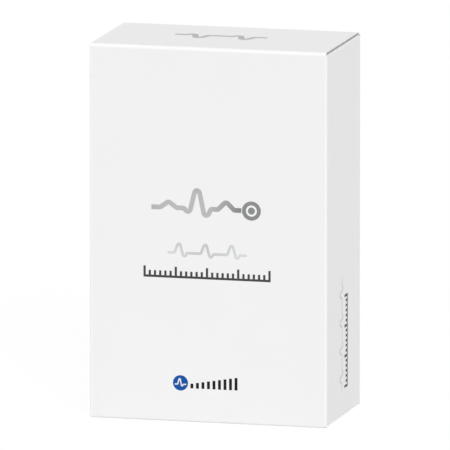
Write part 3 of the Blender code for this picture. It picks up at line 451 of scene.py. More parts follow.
# The lid, from just below its hinge crease on the front panel to just before its rear one.
def lidBoard():
    radius, lap = carton["lidRadius"], carton["lap"]
    seam, start = tuckCrease() - lap, lidHigh.z - radius - lap
    corners = [(frontY, start), (frontY, lidHigh.z), (seam, lidHigh.z)]
    stops = {1: [seam - frontY - carton["lidCorner"]]}
    path = roundedPath(corners, [radius], -1, stops, 14, carton["near"])
    half = np.full(len(path[0]), lidHigh.x)
    # The lid's hinge fold gets a painted highlight.
    made = boardShell("lidBoard", "yz", path, -half, half, carton["lidCreaseHighlight"])
    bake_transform(made)
    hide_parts("lid_panel")


# Where the lid's rear crease starts, on the lid's upper side.
def tuckCrease():
    lean = math.radians(carton["tuckLean"])
    return lidHigh.y - carton["tuckRadius"] * math.tan((math.pi / 2 + lean) / 2)


# The tongue, folded down from the lid's rear crease, with two round corners at its tip.
def tuckBoard():
    lean, corner, crease = math.radians(carton["tuckLean"]), carton["tuckCorner"], tuckCrease()
    length = (lidHigh.z - tuckLow.z) / math.cos(lean)
    tip = (lidHigh.y - length * math.sin(lean), lidHigh.z - length * math.cos(lean))
    roundStops = length - corner * (1 - np.cos(np.linspace(math.pi / 2, 0, 11)))
    stops = {1: list(roundStops[1:-1])}
    corners = [(crease - carton["lap"], lidHigh.z), (lidHigh.y, lidHigh.z), tip]
    path = roundedPath(corners, [carton["tuckRadius"]], -1, stops, 12, carton["near"])
    y, z = path[0].T
    down = (lidHigh.z - z) / math.cos(lean)
    fromTip = np.clip(length - down, 0, corner)
    half = tuckHigh.x - corner + np.sqrt(np.maximum(corner**2 - (corner - fromTip) ** 2, 0))
    shoulder = np.clip((lidHigh.y - y) / carton["lidCorner"], 0, 1) * (lidHigh.x - tuckHigh.x)
    half = half + np.where(path[2] < 1, shoulder, 0)
    # The tongue's fold gets a painted highlight of the default strength.
    made = boardShell("tuckBoard", "yz", path, -half, half)
    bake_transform(made)
    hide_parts("tuck_flap")


# A dust flap, folded in from its side panel. It narrows towards its tip at the front, and has a
# round corner at the rear of its tip.
def dustBoard(side, name):
    radius, lap, corner = carton["dustRadius"], carton["lap"], carton["dustCorner"]
    length = dustHigh.x - dustLow.x
    roundStops = length - corner + corner * np.sin(np.linspace(0, math.pi / 2, 9))
    level = dustHigh.z - carton["dustDrop"]
    ends = ((side * halfWide, level), (side * (halfWide - length), level))
    corners = [(side * halfWide, level - radius - lap), *ends]
    path = roundedPath(corners, [radius], side, {1: list(roundStops[:-1])}, 10, carton["near"])
    inward = halfWide - np.abs(path[0][:, 0])
    low = dustLow.y + inward * math.tan(math.radians(carton["dustTaper"])) * (path[2] >= 1)
    past = np.clip(inward - (length - corner), 0, corner)
    high = dustHigh.y - corner + np.sqrt(np.maximum(corner**2 - past**2, 0))
    front, rear = dustCrease(side)
    low, high = np.where(path[2] < 1, front, low), np.where(path[2] < 1, rear, high)
    made = boardShell(name + "DustBoard", "xz", path, low, high, 0)
    body = name + "_dust_flap"
    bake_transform(made)
    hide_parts(body)


# The bottom's four flaps, each folded in from the wall that it hangs on. The outer one lies on
# the floor. The others start at the floor too and rise to the layer that they lie in.
def bottomBoards():
    radius, lap, ramp, foot = [carton[key] for key in ("bottomRadius", "lap", "ramp", "foot")]
    plans = (
        ("Outer", "yz", frontY, outerHigh.y - lap, outerLow.z, outerHigh.x),
        ("Inner", "yz", backY, innerLow.y, innerLow.z, innerHigh.x),
        ("Right", "xz", halfWide, sideLow.x, sideLow.z, sideHigh.y),
        ("Left", "xz", -halfWide, -sideLow.x, sideLow.z, sideHigh.y),
    )
    for name, plane, crease, tip, level, half in plans:
        inward = 1 if tip > crease else -1
        floor = min(level, foot)
        ends = ((crease, floor), (crease + inward * ramp, level), (tip, level))
        corners = [(crease, floor + radius + lap), *ends]
        path = roundedPath(corners, [radius, carton["rampRadius"]], inward, None, 8, carton["near"])
        inside = np.abs(path[0][:, 0] - crease) > ramp * 0.5
        wide = half - np.where(inside & (level == 0), ramp * 0.7, 0)
        wide = wide + np.where(~inside & (level > 0), carton["cornerReach"], 0)
        made = boardShell(f"bottom{name}Board", plane, path, -wide, wide, 0)
        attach(made, "carton")
        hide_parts(f"bottom_{name.lower()}_flap")


sleeve()
lidBoard()
tuckBoard()
dustBoard(-1, "left")
dustBoard(1, "right")
bottomBoards()
print("carton folded")

# The prints. Each is a thin layer of ink or foil on its panel, drawn in the panel's own
# across and up, in metres from the panel's middle line and from the carton's foot.

prints = {
    "ink": 0.00003,  # how far a print stands off the board
    "trace": {"left": -0.0277, "level": 0.1028, "wide": 0.044, "tall": 0.019, "stroke": 0.0023},
    "electrode": {"middle": 0.0212, "level": 0.1028, "ring": 0.0046, "hole": 0.0027, "dot": 0.0017},
    "leads": {"left": -0.0198, "level": 0.0812, "wide": 0.0387, "tall": 0.0085, "stroke": 0.0013},
    "scale": {"left": -0.0316, "level": 0.069, "wide": 0.0622, "tall": 0.0054, "stroke": 0.0011},
    "badge": {"middle": -0.0135, "level": 0.0186, "radius": 0.0037},
    "bars": {"left": -0.0086, "level": 0.0162, "wide": 0.023, "tall": 0.006, "stroke": 0.0014},
    "lidTrace": {"left": -0.0197, "level": -0.00335, "wide": 0.045, "tall": 0.015, "stroke": 0.003},
    "sideScale": {"left": 0.0133, "level": -0.008, "wide": 0.045, "tall": 0.006, "stroke": 0.0013},
    "sideLeads": {"left": 0.0128, "level": 0.0027, "wide": 0.0542, "tall": 0.008, "stroke": 0.0012},
    "ticks": 25,
    "sideTicks": 19,
    "tallEvery": 6,  # every so many ticks, one is tall
    "shortShare": 0.62,  # of a tall tick's length
    "barCount": 9,
    "firstBar": 0.30,  # the bars rise from over this share of the tallest
}


# Print coordinates as points in space, at a height off the panel.
def onPanel(panel, across, up, height):
    origin, acrossAxis, upAxis, normal = panel
    flat = across[..., None] * np.array(acrossAxis) + up[..., None] * np.array(upAxis)
    return np.array(origin) + flat + height * np.array(normal)


# A stroke of even width along a path, as a thin slab: left and right of the path, top and bottom.
def ribbon(panel, path, stroke):
    points, normals = path[:2]
    left, right = points + normals * stroke / 2, points - normals * stroke / 2
    top, bottom = prints["ink"], -prints["ink"] / 3
    ring = ((left, top), (right, top), (right, bottom), (left, bottom))
    return np.stack([onPanel(panel, *side.T, height) for side, height in ring], axis=1)


# One straight stroke.
def straight(panel, start, end, stroke):
    return ribbon(panel, roundedPath([start, end], []), stroke)


# One heartbeat, in shares of a beat's length and of its height.
beatShares = (
    (0.10, 0.0), (0.19, 0.22), (0.28, 0.0),
    (0.36, 0.0), (0.42, -0.22), (0.51, 1.0), (0.60, -0.45), (0.66, 0.0),
    (0.74, 0.0), (0.83, 0.30), (0.92, 0.0),
)
plainBeatShares = ((0.26, 0.0), (0.44, 1.0), (0.62, -0.45), (0.74, 0.0))


# A pulse line: straight legs joined by arcs a little wider than half the stroke.
def heartTrace(panel, left, level, wide, tall, stroke, beats=1, shares=beatShares):
    rises = [up for _, up in shares]
    unit, beatWide = tall / (max(rises) - min(rises)), wide / beats
    corners = [(left, level)]
    for beat in range(beats):
        start = left + beatWide * beat
        corners += [(start + along * beatWide, level + up * unit) for along, up in shares]
    corners.append((left + wide, level))
    radii = [stroke * 0.55] * (len(corners) - 2)
    return ribbon(panel, roundedPath(corners, radii, arcSteps=5), stroke)


# A plain time scale: a base line, and short ticks with a tall one among them now and then.
def tickScale(panel, ticks, left, level, wide, tall, stroke):
    base = level + stroke / 2
    strokes = [straight(panel, (left, base), (left + wide, base), stroke)]
    places = np.linspace(left + stroke / 2, left + wide - stroke / 2, ticks)
    for tick, across in enumerate(places):
        top = level + tall * (prints["shortShare"] if tick % prints["tallEvery"] else 1)
        strokes.append(straight(panel, (across, level + stroke * 1.02), (across, top), stroke))
    return strokes


# A disc, or a ring when it has a hole: circles about its middle, at its top and its bottom.
def disc(panel, middle, level, radius, hole=0.0):
    angles = np.linspace(0, 2 * math.pi, 64, endpoint=False)
    top, bottom = prints["ink"], -prints["ink"] / 3
    rows = [(radius, bottom), (radius, top)]
    if hole:
        rows += [(hole, top), (hole, bottom), (radius, bottom)]
    x, y = np.cos(angles), np.sin(angles)
    return np.stack([onPanel(panel, middle + size * x, level + size * y, up) for size, up in rows])


# The foil's painted reflection: how its bands of light and dark colour lie.
foilLook = {
    "roughness": 0.30,
    "metallic": 0.85,
    "bands": (26, 26, 60),  # to the metre, each way
    "slant": (0, 0.6, 0),
    "range": (0.38, 0.64),  # the part of the noise that goes from dark to light
}


# Stamped silver foil: its colour goes from light to dark in soft slanting bands, which are a painted
# reflection in place of its sheen. A print's finish comes with the colour slot of the board that it
# lies on.
def foil(name, light, dark):
    look = (foilLook["roughness"], foilLook["metallic"])
    material, tree, shader = newFinish(name, light, *look)
    bands = noiseOf(placeOf(tree, foilLook["bands"], foilLook["slant"]), 1.0, 0.0)
    tone = mixOf(rangeOf(bands, 0, 1, *foilLook["range"]), dark, light)
    grain = bumpOf(noiseOf(placeOf(tree), 3000), 0.000002, 0.3)
    feed(shader, Base_Color=tone, Normal=grain)
    return material, "coated_board"


# Printed ink: matt, and a little uneven in its tone and gloss.
def ink(name, colour):
    shade = tuple(part * 0.93 for part in colour)
    look = {"clouds": 300, "spread": 0.04, "Specular_IOR_Level": 0.15}
    return grained(name, colour, shade, 0.5, 3000, 0.000002, **look)[0], "coated_board"


silver = foil("silverFoil", (0.50, 0.50, 0.51), (0.26, 0.265, 0.27))
paleSilver = foil("paleFoil", (0.70, 0.71, 0.71), (0.58, 0.59, 0.59))
darkInk = ink("darkInk", (0.058, 0.060, 0.066))
blackInk = ink("blackInk", (0.008, 0.008, 0.009))
blueInk = ink("blueInk", (0.004, 0.088, 0.365))
whiteInk = ink("whiteInk", (0.87, 0.87, 0.88))
greyInk = ink("greyInk", (0.50, 0.505, 0.51))
sideInk = ink("sideGreyInk", (0.69, 0.695, 0.70))

frontPanel = ((0, frontY, 0), (1, 0, 0), (0, 0, 1), (0, -1, 0))
lidPanel = ((0, 0, lidHigh.z), (-1, 0, 0), (0, -1, 0), (0, 0, 1))
sidePanel = ((halfWide, 0, 0), (0, 0, 1), (0, -1, 0), (1, 0, 0))


# A finished piece moves with its body, and may stand for a imported piece.
def settle(made, body, node=None):
    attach(made, body)
    if node:
        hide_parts(node)


# A piece of its own. Its look is a finish and a colour slot.
def addPiece(name, shells, look, body="carton"):
    settle(meshFromRings(name, shells, look[:1]), body)


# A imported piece's name as the finer piece in its stead has it.
def camel(node):
    first, *others = node.split("_")
    return first + "".join(part.capitalize() for part in others)


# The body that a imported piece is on: one that moves is named like its body.
def bodyOf(node):
    return node if node in frame["bodies"] else "carton"


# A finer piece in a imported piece's stead.
def standIn(node, shells, look, name=None):
    made = meshFromRings(name or camel(node), shells, look[:1])
    settle(made, bodyOf(node), node)


def frontPrints():
    spot = prints["electrode"]
    place = (spot["middle"], spot["level"])
    shells = [
        heartTrace(frontPanel, **prints["trace"]),
        disc(frontPanel, *place, spot["ring"], spot["hole"]),
        disc(frontPanel, *place, spot["dot"]),
    ]
    addPiece("frontHeartTrace", shells, silver)
    leads = heartTrace(frontPanel, **prints["leads"], beats=3, shares=plainBeatShares)
    addPiece("frontLeadTrace", [leads], paleSilver)
    scale = tickScale(frontPanel, prints["ticks"], **prints["scale"])
    addPiece("frontTimeScale", scale, darkInk)


def badgePrints():
    look = prints["badge"]
    radius = look["radius"]
    addPiece("blueBadge", [disc(frontPanel, look["middle"], look["level"], radius)], blueInk)
    raised = ((0, frontY - prints["ink"], 0), *frontPanel[1:])
    wide, stroke = radius * 1.5, radius / 6
    place = (look["middle"] - wide / 2, look["level"] - stroke)
    pulse = heartTrace(raised, *place, wide, wide, stroke, shares=plainBeatShares)
    addPiece("badgePulse", [pulse], whiteInk)
    left, level, wide, tall, stroke = prints["bars"].values()
    shells = []
    places = np.linspace(left + stroke / 2, left + wide - stroke / 2, prints["barCount"])
    for number, across in enumerate(places):
        rise = prints["firstBar"] + (1 - prints["firstBar"]) * (number + 1) / len(places)
        shells.append(straight(frontPanel, (across, level), (across, level + tall * rise), stroke))
    addPiece("signalBars", shells, blackInk)


def lidAndSidePrints():
    trace = heartTrace(lidPanel, **prints["lidTrace"], beats=2, shares=plainBeatShares)
    addPiece("lidHeartTrace", [trace], greyInk, "lid")
    scale = tickScale(sidePanel, prints["sideTicks"], **prints["sideScale"])
    addPiece("sideTimeScale", scale, darkInk)
    leads = heartTrace(sidePanel, **prints["sideLeads"], beats=4, shares=plainBeatShares)
    addPiece("sideLeadTrace", [leads], sideInk)


frontPrints()
badgePrints()
lidAndSidePrints()
print("prints laid on the panels")

# Inside the carton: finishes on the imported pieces


def dress(material, *names):
    for name in names:
        if not nodes[name].material_slots:
            nodes[name].data.materials.append(material)
        for slot in nodes[name].material_slots:
            slot.material = material


flute = {
    "pitch": 0.0030,
    "heightShare": 0.74,  # the flutes' height, of half the board's thickness
    "wallShare": 0.30,
    "relief": 0.00002,
    "shadow": (0.22, 0.20, 0.17),
}


# White fluted board: the flutes show through the liner as faint ridges, and its cut edges show them
# between the two liners, with the hollows between them painted in the shadow colour as painted shade.
# The wave is the flute's height over the board's middle, so the board is there where the two are near
# each other.
def flutedBoard(name):
    look = ((0.84, 0.83, 0.80), (0.80, 0.79, 0.75))
    material, tree, shader = grained("cradleBoard_" + name, *look, 0.80, 1500, 0.00001)
    low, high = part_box(name)
    thin = min(range(3), key=lambda axis: (high - low)[axis])
    place, facing = placeAndFacing(tree)
    depth = rangeOf(place[thin], -1, 1, low[thin], high[thin])
    first, second = [place[axis] for axis in range(3) if axis != thin]
    perMetre = 2 * math.pi / flute["pitch"]
    turn = mathOf("MULTIPLY", mathOf("ADD", first, second), perMetre)
    wave = mathOf("MULTIPLY", mathOf("SINE", turn), flute["heightShare"])
    off = mathOf("ABSOLUTE", mathOf("SUBTRACT", depth, wave))
    onFlute = mathOf("LESS_THAN", off, flute["wallShare"])
    onLiner = mathOf("GREATER_THAN", mathOf("ABSOLUTE", depth), flute["heightShare"])
    onFace = mathOf("GREATER_THAN", mathOf("ABSOLUTE", facing[thin]), 0.5)
    solid = mathOf("MAXIMUM", mathOf("MAXIMUM", onFlute, onLiner), onFace)
    colour = mixOf(solid, flute["shadow"], fed(shader, "Base Color"))
    relief = mathOf("SINE", mathOf("MULTIPLY", first, perMetre))
    ridges = bumpOf(relief, flute["relief"], 0.4, fed(shader, "Normal"))
    feed(shader, Base_Color=colour, Normal=ridges)
    return material


# Light and dark bands, with that many to the metre or so.
def bandsOf(place, scale, direction, distortion=0.0):
    inputs = {"Vector": place, "Scale": scale, "Distortion": distortion}
    kind = {"wave_type": "BANDS", "bands_direction": direction}
    return addNode(place.id_data, "ShaderNodeTexWave", inputs, **kind).outputs["Fac"]


# Uncoated paper whose edges show its leaves.
def guidePaper():
    look = ((0.86, 0.86, 0.84), (0.83, 0.83, 0.80))
    material, tree, shader = grained("guidePaper", *look, 0.75, 2500, 0.000005)
    leaves = bandsOf(placeOf(tree), 1500, "Y", 0.5)
    feed(shader, Normal=bumpOf(leaves, 0.00002, 0.4, fed(shader, "Normal")))
    return material


maskLook = {
    "base": (0.015, 0.13, 0.05),
    "mask": (0.010, 0.10, 0.040),
    "track": (0.022, 0.17, 0.075),
    "tin": (0.70, 0.62, 0.42),
    "patches": 130,  # to the metre
    "tracks": 330,
    "dots": 330,
    "relief": 0.00002,
}


# Green board: parallel copper tracks under the mask, which turn from patch to patch, and bright
# tinned dots.
def solderMask():
    material, tree, shader = newFinish("solderMask", maskLook["base"], 0.35)
    place = placeOf(tree)
    cells = {"Vector": place, "Scale": maskLook["patches"], "Randomness": 0.8}
    patch = addNode(tree, "ShaderNodeTexVoronoi", cells, distance="CHEBYCHEV").outputs["Color"]
    patch = addNode(tree, "ShaderNodeSeparateColor", {"Color": patch}).outputs["Red"]
    tracks = 0.0
    for direction, low, high in (("X", 1, 0), ("Z", 0, 1)):
        line = rangeOf(bandsOf(place, maskLook["tracks"], direction), 0, 1, 0.68, 0.74)
        chosen = rangeOf(patch, low, high, 0.47, 0.49)
        tracks = mathOf("MAXIMUM", mathOf("MULTIPLY", line, chosen), tracks)
    cells = {"Vector": place, "Scale": maskLook["dots"], "Randomness": 0.35}
    dots = addNode(tree, "ShaderNodeTexVoronoi", cells).outputs["Distance"]
    near = rangeOf(dots, 1, 0, 0.13, 0.16)
    colour = mixOf(near, mixOf(tracks, maskLook["mask"], maskLook["track"]), maskLook["tin"])
    relief = bumpOf(tracks, maskLook["relief"], 0.5)
    feed(shader, Base_Color=colour, Metallic=near, Normal=relief)
    return material


# Drawn metal: fine lines along Z and a varying gloss.
def brightMetal(name, colour):
    material, tree, shader = newFinish(name, colour, 0.28, 1.0)
    lines = noiseOf(placeOf(tree, stretch=(1, 1, 0.05)), 6000, 2.0)
    gloss = rangeOf(lines, 0.20, 0.38)
    feed(shader, Roughness=gloss, Normal=bumpOf(lines, 0.000003, 0.4))
    return material, "steel"


# A cell's printed sleeve: dark, with a band by its positive end and bare metal end faces.
def cellSleeve(name, up):
    dark, copper, bare = (0.03, 0.035, 0.045), (0.55, 0.30, 0.05), (0.62, 0.61, 0.58)
    material, tree, shader = newFinish(name + "_sleeve", dark, 0.35)
    low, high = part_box(name)
    place, facing = placeAndFacing(tree)
    long = (high.z - low.z) * power["darkShare"]
    start = low.z + long if up > 0 else high.z - long
    inBand = rangeOf(place["Z"], 0, 1, start, start + up * power["bandEdge"])
    colour = mixOf(inBand, dark, copper)
    end = rangeOf(mathOf("ABSOLUTE", facing["Z"]), 0, 1, 0.8, 0.9)
    gloss = rangeOf(noiseOf(placeOf(tree), 1500), 0.28, 0.42)
    feed(shader, Base_Color=mixOf(end, colour, bare), Metallic=end, Roughness=gloss)
    return material, "cell"


# A switched-off display: near black, with its fine grid of dots.
def displayPixels():
    material, tree, shader = newFinish("displayPixels", (0.03, 0.045, 0.06), 0.15)
    place = placeOf(tree, turn=(math.pi / 2, 0, 0))
    grid = addNode(tree, "ShaderNodeTexChecker", {"Vector": place, "Scale": 2500}).outputs["Fac"]
    feed(shader, Base_Color=mixOf(grid, (0.028, 0.042, 0.055), (0.045, 0.062, 0.078)))
    return material, "display"


# Polished dark acrylic, with the faintest haze.
def darkWindow():
    look = ((0.012, 0.014, 0.017), 0.06)
    material, tree, shader = newFinish("darkWindow", *look, Coat_Weight=0.6)
    feed(shader, Roughness=rangeOf(noiseOf(placeOf(tree), 90), 0.04, 0.10))
    return material, "window"


# The moulded finishes: colour slot, name, two tones, roughness, grain, and the grain's relief.
mouldings = (
    ("white_plastic", "shellPlastic", (0.82, 0.83, 0.84), (0.80, 0.81, 0.82), 0.40, 2200, 0.00001),
    ("grey_plastic", "greyPlastic", (0.30, 0.32, 0.34), (0.27, 0.29, 0.31), 0.45, 2200, 0.00001),
    ("blue_plastic", "bluePlastic", (0.02, 0.12, 0.42), (0.018, 0.11, 0.39), 0.32, 2600, 0.000005),
    ("rubber", "blackRubber", (0.055, 0.055, 0.06), (0.045, 0.045, 0.05), 0.72, 1200, 0.00002),
    ("chip", "chipResin", (0.02, 0.02, 0.022), (0.027, 0.027, 0.028), 0.55, 3500, 0.00001),
    ("chip", "paleCeramic", (0.50, 0.42, 0.30), (0.44, 0.36, 0.25), 0.5, 3500, 0.000005),
)
shellPlastic, greyPlastic, bluePlastic, rubber, resin, ceramic = [
    (grained(*look)[0], slot) for slot, *look in mouldings
]
window, pixels = darkWindow(), displayPixels()
steel = brightMetal("brightSteel", (0.60, 0.60, 0.62))
gold = brightMetal("goldPlating", (0.80, 0.58, 0.25))


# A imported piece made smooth: its triangles are joined, its flat faces are whole again, and its
# edges get a fine rounding. Big faces outweigh small ones where they meet, so they stay flat.
def smoothed(node, look, rounding=0.0, name=None):
    name = name or camel(node)
    shape = bmesh.new()
    shape.from_mesh(nodes[node].data)
    bmesh.ops.remove_doubles(shape, verts=shape.verts, dist=0.000002)
    flat = math.radians(0.5)
    bmesh.ops.dissolve_limit(shape, angle_limit=flat, verts=shape.verts, edges=shape.edges)
    mesh = bpy.data.meshes.new(name)
    shape.to_mesh(mesh)
    shape.free()
    mesh.shade_smooth()
    mesh.set_sharp_from_angle(angle=sharpAngle)
    mesh.materials.clear()
    mesh.materials.append(look[0])
    mesh.polygons.foreach_set("material_index", np.zeros(len(mesh.polygons), np.int32))
    made = linked(name, mesh)
    if rounding:
        edges = made.modifiers.new("edges", "BEVEL")
        edges.width, edges.segments = rounding, 3
        edges.limit_method, edges.angle_limit = "ANGLE", sharpAngle
    made.modifiers.new("weigh", "WEIGHTED_NORMAL").keep_sharp = True
    settle(made, bodyOf(node), node)


def dressNodes():
    for name in nodes:
        if name.startswith("cradle_"):
            dress(flutedBoard(name), name)
    dress(guidePaper(), "guide_cover", "guide_pages")
    dress(solderMask(), "main_board")
    smoothed("recorder_front_shell", shellPlastic, name="frontShell")
    smoothed("recorder_rear_shell", shellPlastic, name="rearShell")
    smoothed("battery_door", shellPlastic, 0.0003)
    smoothed("belt_clip", shellPlastic, 0.0004)
    smoothed("display_window", window, 0.0002)
    smoothed("display_module", pixels, 0.0002)
    smoothed("data_socket", steel)
    smoothed("clip_pin", steel, 0.0002)


dressNodes()
print("inside pieces dressed")

# The recorder's smaller pieces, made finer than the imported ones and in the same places. They are
# lofts along a profile: each of its rows is the size or the growth of one ring, and its level.


# The rows of an arc, about a middle size and level, from one angle to another in degrees.
def bend(size, level, radius, start, end, up=1, steps=5):
    angles = np.radians(np.linspace(start, end, steps + 1))
    return list(zip(size + radius * np.cos(angles), level + up * radius * np.sin(angles)))


# Circles about a middle, one for each row. A row's radius may differ from point to point.
def turnRings(plane, middle, radii, levels, steps=40):
    turns = np.linspace(0, 2 * math.pi, steps, endpoint=False)
    middle, levels = inPlane(plane, middle), np.array(levels)[:, None]
    radii = np.array(radii).reshape(len(levels), -1)
    across = middle[0] + radii * np.cos(turns)
    return inSpace(plane, across, middle[1] + radii * np.sin(turns), levels)


def turned(plane, middle, rows, steps=40):
    return turnRings(plane, middle, *np.array(rows).T, steps)


# A rectangle with round corners, grown by each row's margin. A corner's points are its arc's
# centre plus the grown radius times their direction.
def padRings(plane, low, high, radius, rows, steps=6):
    quarter = np.linspace(0, math.pi / 2, steps + 1)
    turns = np.concatenate([quarter + side * math.pi / 2 for side in range(4)])
    signs = np.repeat([(1, 1), (-1, 1), (-1, -1), (1, -1)], steps + 1, axis=0)
    low, high = inPlane(plane, low), inPlane(plane, high)
    centres = (low + high) / 2 + signs * ((high - low) / 2 - radius)
    margins, levels = np.array(rows).T[:, :, None]
    across = centres[:, 0] + (radius + margins) * np.cos(turns)
    return inSpace(plane, across, centres[:, 1] + (radius + margins) * np.sin(turns), levels)


# A round wire: a circle carried along the path, square to it, turned by the spine's direction.
def wireRings(points, radius, spine, sides=8):
    along = np.gradient(points, axis=0)
    side = np.cross(along, spine)
    side /= np.linalg.norm(side, axis=1)[:, None]
    over = np.cross(side, along)
    over /= np.linalg.norm(over, axis=1)[:, None]
    turns = np.linspace(0, 2 * math.pi, sides, endpoint=False)[:, None]
    circle = np.cos(turns) * side[:, None] + np.sin(turns) * over[:, None]
    return points[:, None] + radius * circle


# Places side by side, evenly about nought.
def evenly(count, pitch):
    return (np.arange(count) - (count - 1) / 2) * pitch


# Ribs side by side along the second direction of a plane, each a bar with a round top.
def ribs(plane, middle, wide, pitch, count, level, height, up):
    half = np.array((wide / 2, pitch * 0.3))
    rows = [(0, level - up * height / 2), *bend(-height, level, height, 0, 90, up, 4)]
    places = [inPlane(plane, middle) + (0, shift) for shift in evenly(count, pitch)]
    return [padRings(plane, place - half, place + half, half[1], rows, 4) for place in places]


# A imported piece's box: its low corner, its high corner and its middle.
def placeOfNode(name):
    low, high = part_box(name)
    return low, high, (low + high) / 2


button = {
    "flange": 0.0010,
    "flangeThick": 0.0008,
    "edge": 0.0005,
    "dish": 0.0005,
    "ringShare": 0.62,  # where the raised ring lies, from the middle to the rim
    "ringHeight": 0.00022,
    "ringWide": 0.06,  # of the rim's size too
    "keyCorner": 0.0022,
    "keyEdge": 0.0006,
    "arrow": 0.0013,
    "arrowStroke": 0.00045,
}


def recorderButtons():
    flange, thick, edge = button["flange"], button["flangeThick"], button["edge"]
    low, high, middle = placeOfNode("event_button")
    radius = (high.x - low.x) / 2 - flange
    rows = [(radius + flange, high.y), (radius + flange, high.y - thick), (radius, high.y - thick)]
    rows += bend(radius - edge, low.y + edge, edge, 0, 90, -1)
    shares = np.linspace(1, 0.02, 25)
    fromRing = (shares - button["ringShare"]) / button["ringWide"]
    ring = button["ringHeight"] * np.exp(-(fromRing**2))
    levels = low.y + button["dish"] * (1 - shares**2) - ring
    rows += list(zip((radius - edge) * shares, levels))[1:]
    standIn("event_button", [turned("xz", middle, rows, 64)], bluePlastic)
    edge, size, stroke = [button[key] for key in ("keyEdge", "arrow", "arrowStroke")]
    inset = Vector((flange, 0, flange))
    for node, side in (("back_key", -1), ("next_key", 1)):
        low, high, middle = placeOfNode(node)
        rows = [(flange, high.y), (flange, high.y - thick), (0, high.y - thick)]
        rows += bend(-edge, low.y + edge, edge, 0, 90, -1)
        pad = padRings("xz", low + inset, high - inset, button["keyCorner"], rows)
        standIn(node, [pad], greyPlastic)
        panel = ((middle.x, low.y, middle.z), (side, 0, 0), (0, 0, 1), (0, -1, 0))
        arrow = roundedPath([(-size / 2, size), (size / 2, 0), (-size / 2, -size)], [stroke])
        addPiece(camel(node) + "Mark", [ribbon(panel, arrow, stroke)], whiteInk, node)


slide = {"knobEdge": 0.0004, "stemAcross": 0.0014, "stemUp": 0.0034, "proud": 0.0011, "ribs": 5}


# The hold switch: a knob with ribs on the outside, and the stem that runs in the shell's slot.
def holdSwitch():
    low, high, middle = placeOfNode("hold_switch")
    edge, root, count = slide["knobEdge"], low.x + slide["proud"], slide["ribs"]
    rows = [(0, root), *bend(-edge, low.x + 2 * edge, edge, 0, 90, -1, 4)]
    half = Vector((0, slide["stemAcross"] / 2, slide["stemUp"] / 2))
    stem = [(0, root - edge), (0, high.x - edge / 2), (-edge / 2, high.x)]
    wide, pitch = high.y - low.y - 3 * edge, (high.z - low.z - 3 * edge) / count
    shells = [
        padRings("yz", low, high, 2 * edge, rows),
        padRings("yz", middle - half, middle + half, edge, stem),
        *ribs("yz", middle, wide, pitch, count, low.x + edge, edge, -1),
    ]
    standIn("hold_switch", shells, greyPlastic)


screw = {
    "steps": 48,  # points in a turn
    "shank": 0.0010,
    "thread": 0.00015,  # how deep the thread is cut
    "pitch": 0.0008,
    "threadShare": 0.8,  # of the shank's length
    "headHeight": 0.0014,
    "edge": 0.00035,
    "crossLong": 0.0011,
    "crossWide": 0.00028,
    "crossDeep": 0.0008,
    "crossTaper": 0.7,
}


# A screw: its radius follows a thread that climbs one pitch a turn, and its head has a cross
# recess, whose outline is the nearer of an arm's end and an arm's side in each direction.
def shellScrews():
    steps = screw["steps"]
    turns = np.linspace(0, 2 * math.pi, steps, endpoint=False)
    off = np.abs((turns + math.pi / 4) % (math.pi / 2) - math.pi / 4)
    side = screw["crossWide"] / np.maximum(np.sin(off), 1e-6)
    cross = np.minimum(screw["crossLong"] / np.cos(off), side)
    for number in range(1, 5):
        node = f"shell_screw_{number}"
        low, high, middle = placeOfNode(node)
        head, neck = (high.x - low.x) / 2, high.y - screw["headHeight"]
        tip = low.y + screw["shank"] / 2
        end = tip + (neck - tip) * screw["threadShare"]
        levels = np.arange(tip, end, screw["pitch"] / 6)
        climb = (levels[:, None] / screw["pitch"] - turns / (2 * math.pi)) % 1
        fade = np.clip((end - levels[:, None]) / screw["pitch"], 0, 1)
        shank = screw["shank"] - screw["thread"] * fade * (1 - np.abs(2 * climb - 1))
        rows = [(screw["shank"], end), (screw["shank"], neck), (head, neck)]
        rows += bend(head - screw["edge"], high.y - screw["edge"], screw["edge"], 0, 90)
        plain = np.array(rows)
        radii = [np.full((1, steps), screw["shank"] / 2), shank, plain[:, :1] * np.ones(steps)]
        radii += [cross[None], cross[None] * screw["crossTaper"]]
        radii += [np.full((1, steps), screw["crossWide"] / 4)]
        bottom = high.y - screw["crossDeep"]
        levels = [[low.y], levels, plain[:, 1], [high.y, bottom, bottom]]
        radii, levels = np.concatenate(radii), np.concatenate(levels)
        rings = turnRings("xz", middle, radii, levels, steps)
        standIn(node, [rings], steel)


socket = {
    "flange": 0.0014,
    "base": 0.0020,
    "wall": 0.0012,
    "corner": 0.0016,
    "pinColumns": 5,
    "pinPitch": 0.0034,
    "pinRows": 2,
    "rowPitch": 0.0030,
    "pinRadius": 0.00045,
    "pinTall": 0.0048,
    "tongueWall": 0.0009,  # clear of the data socket's shell all round
    "tongueThick": 0.0006,
}


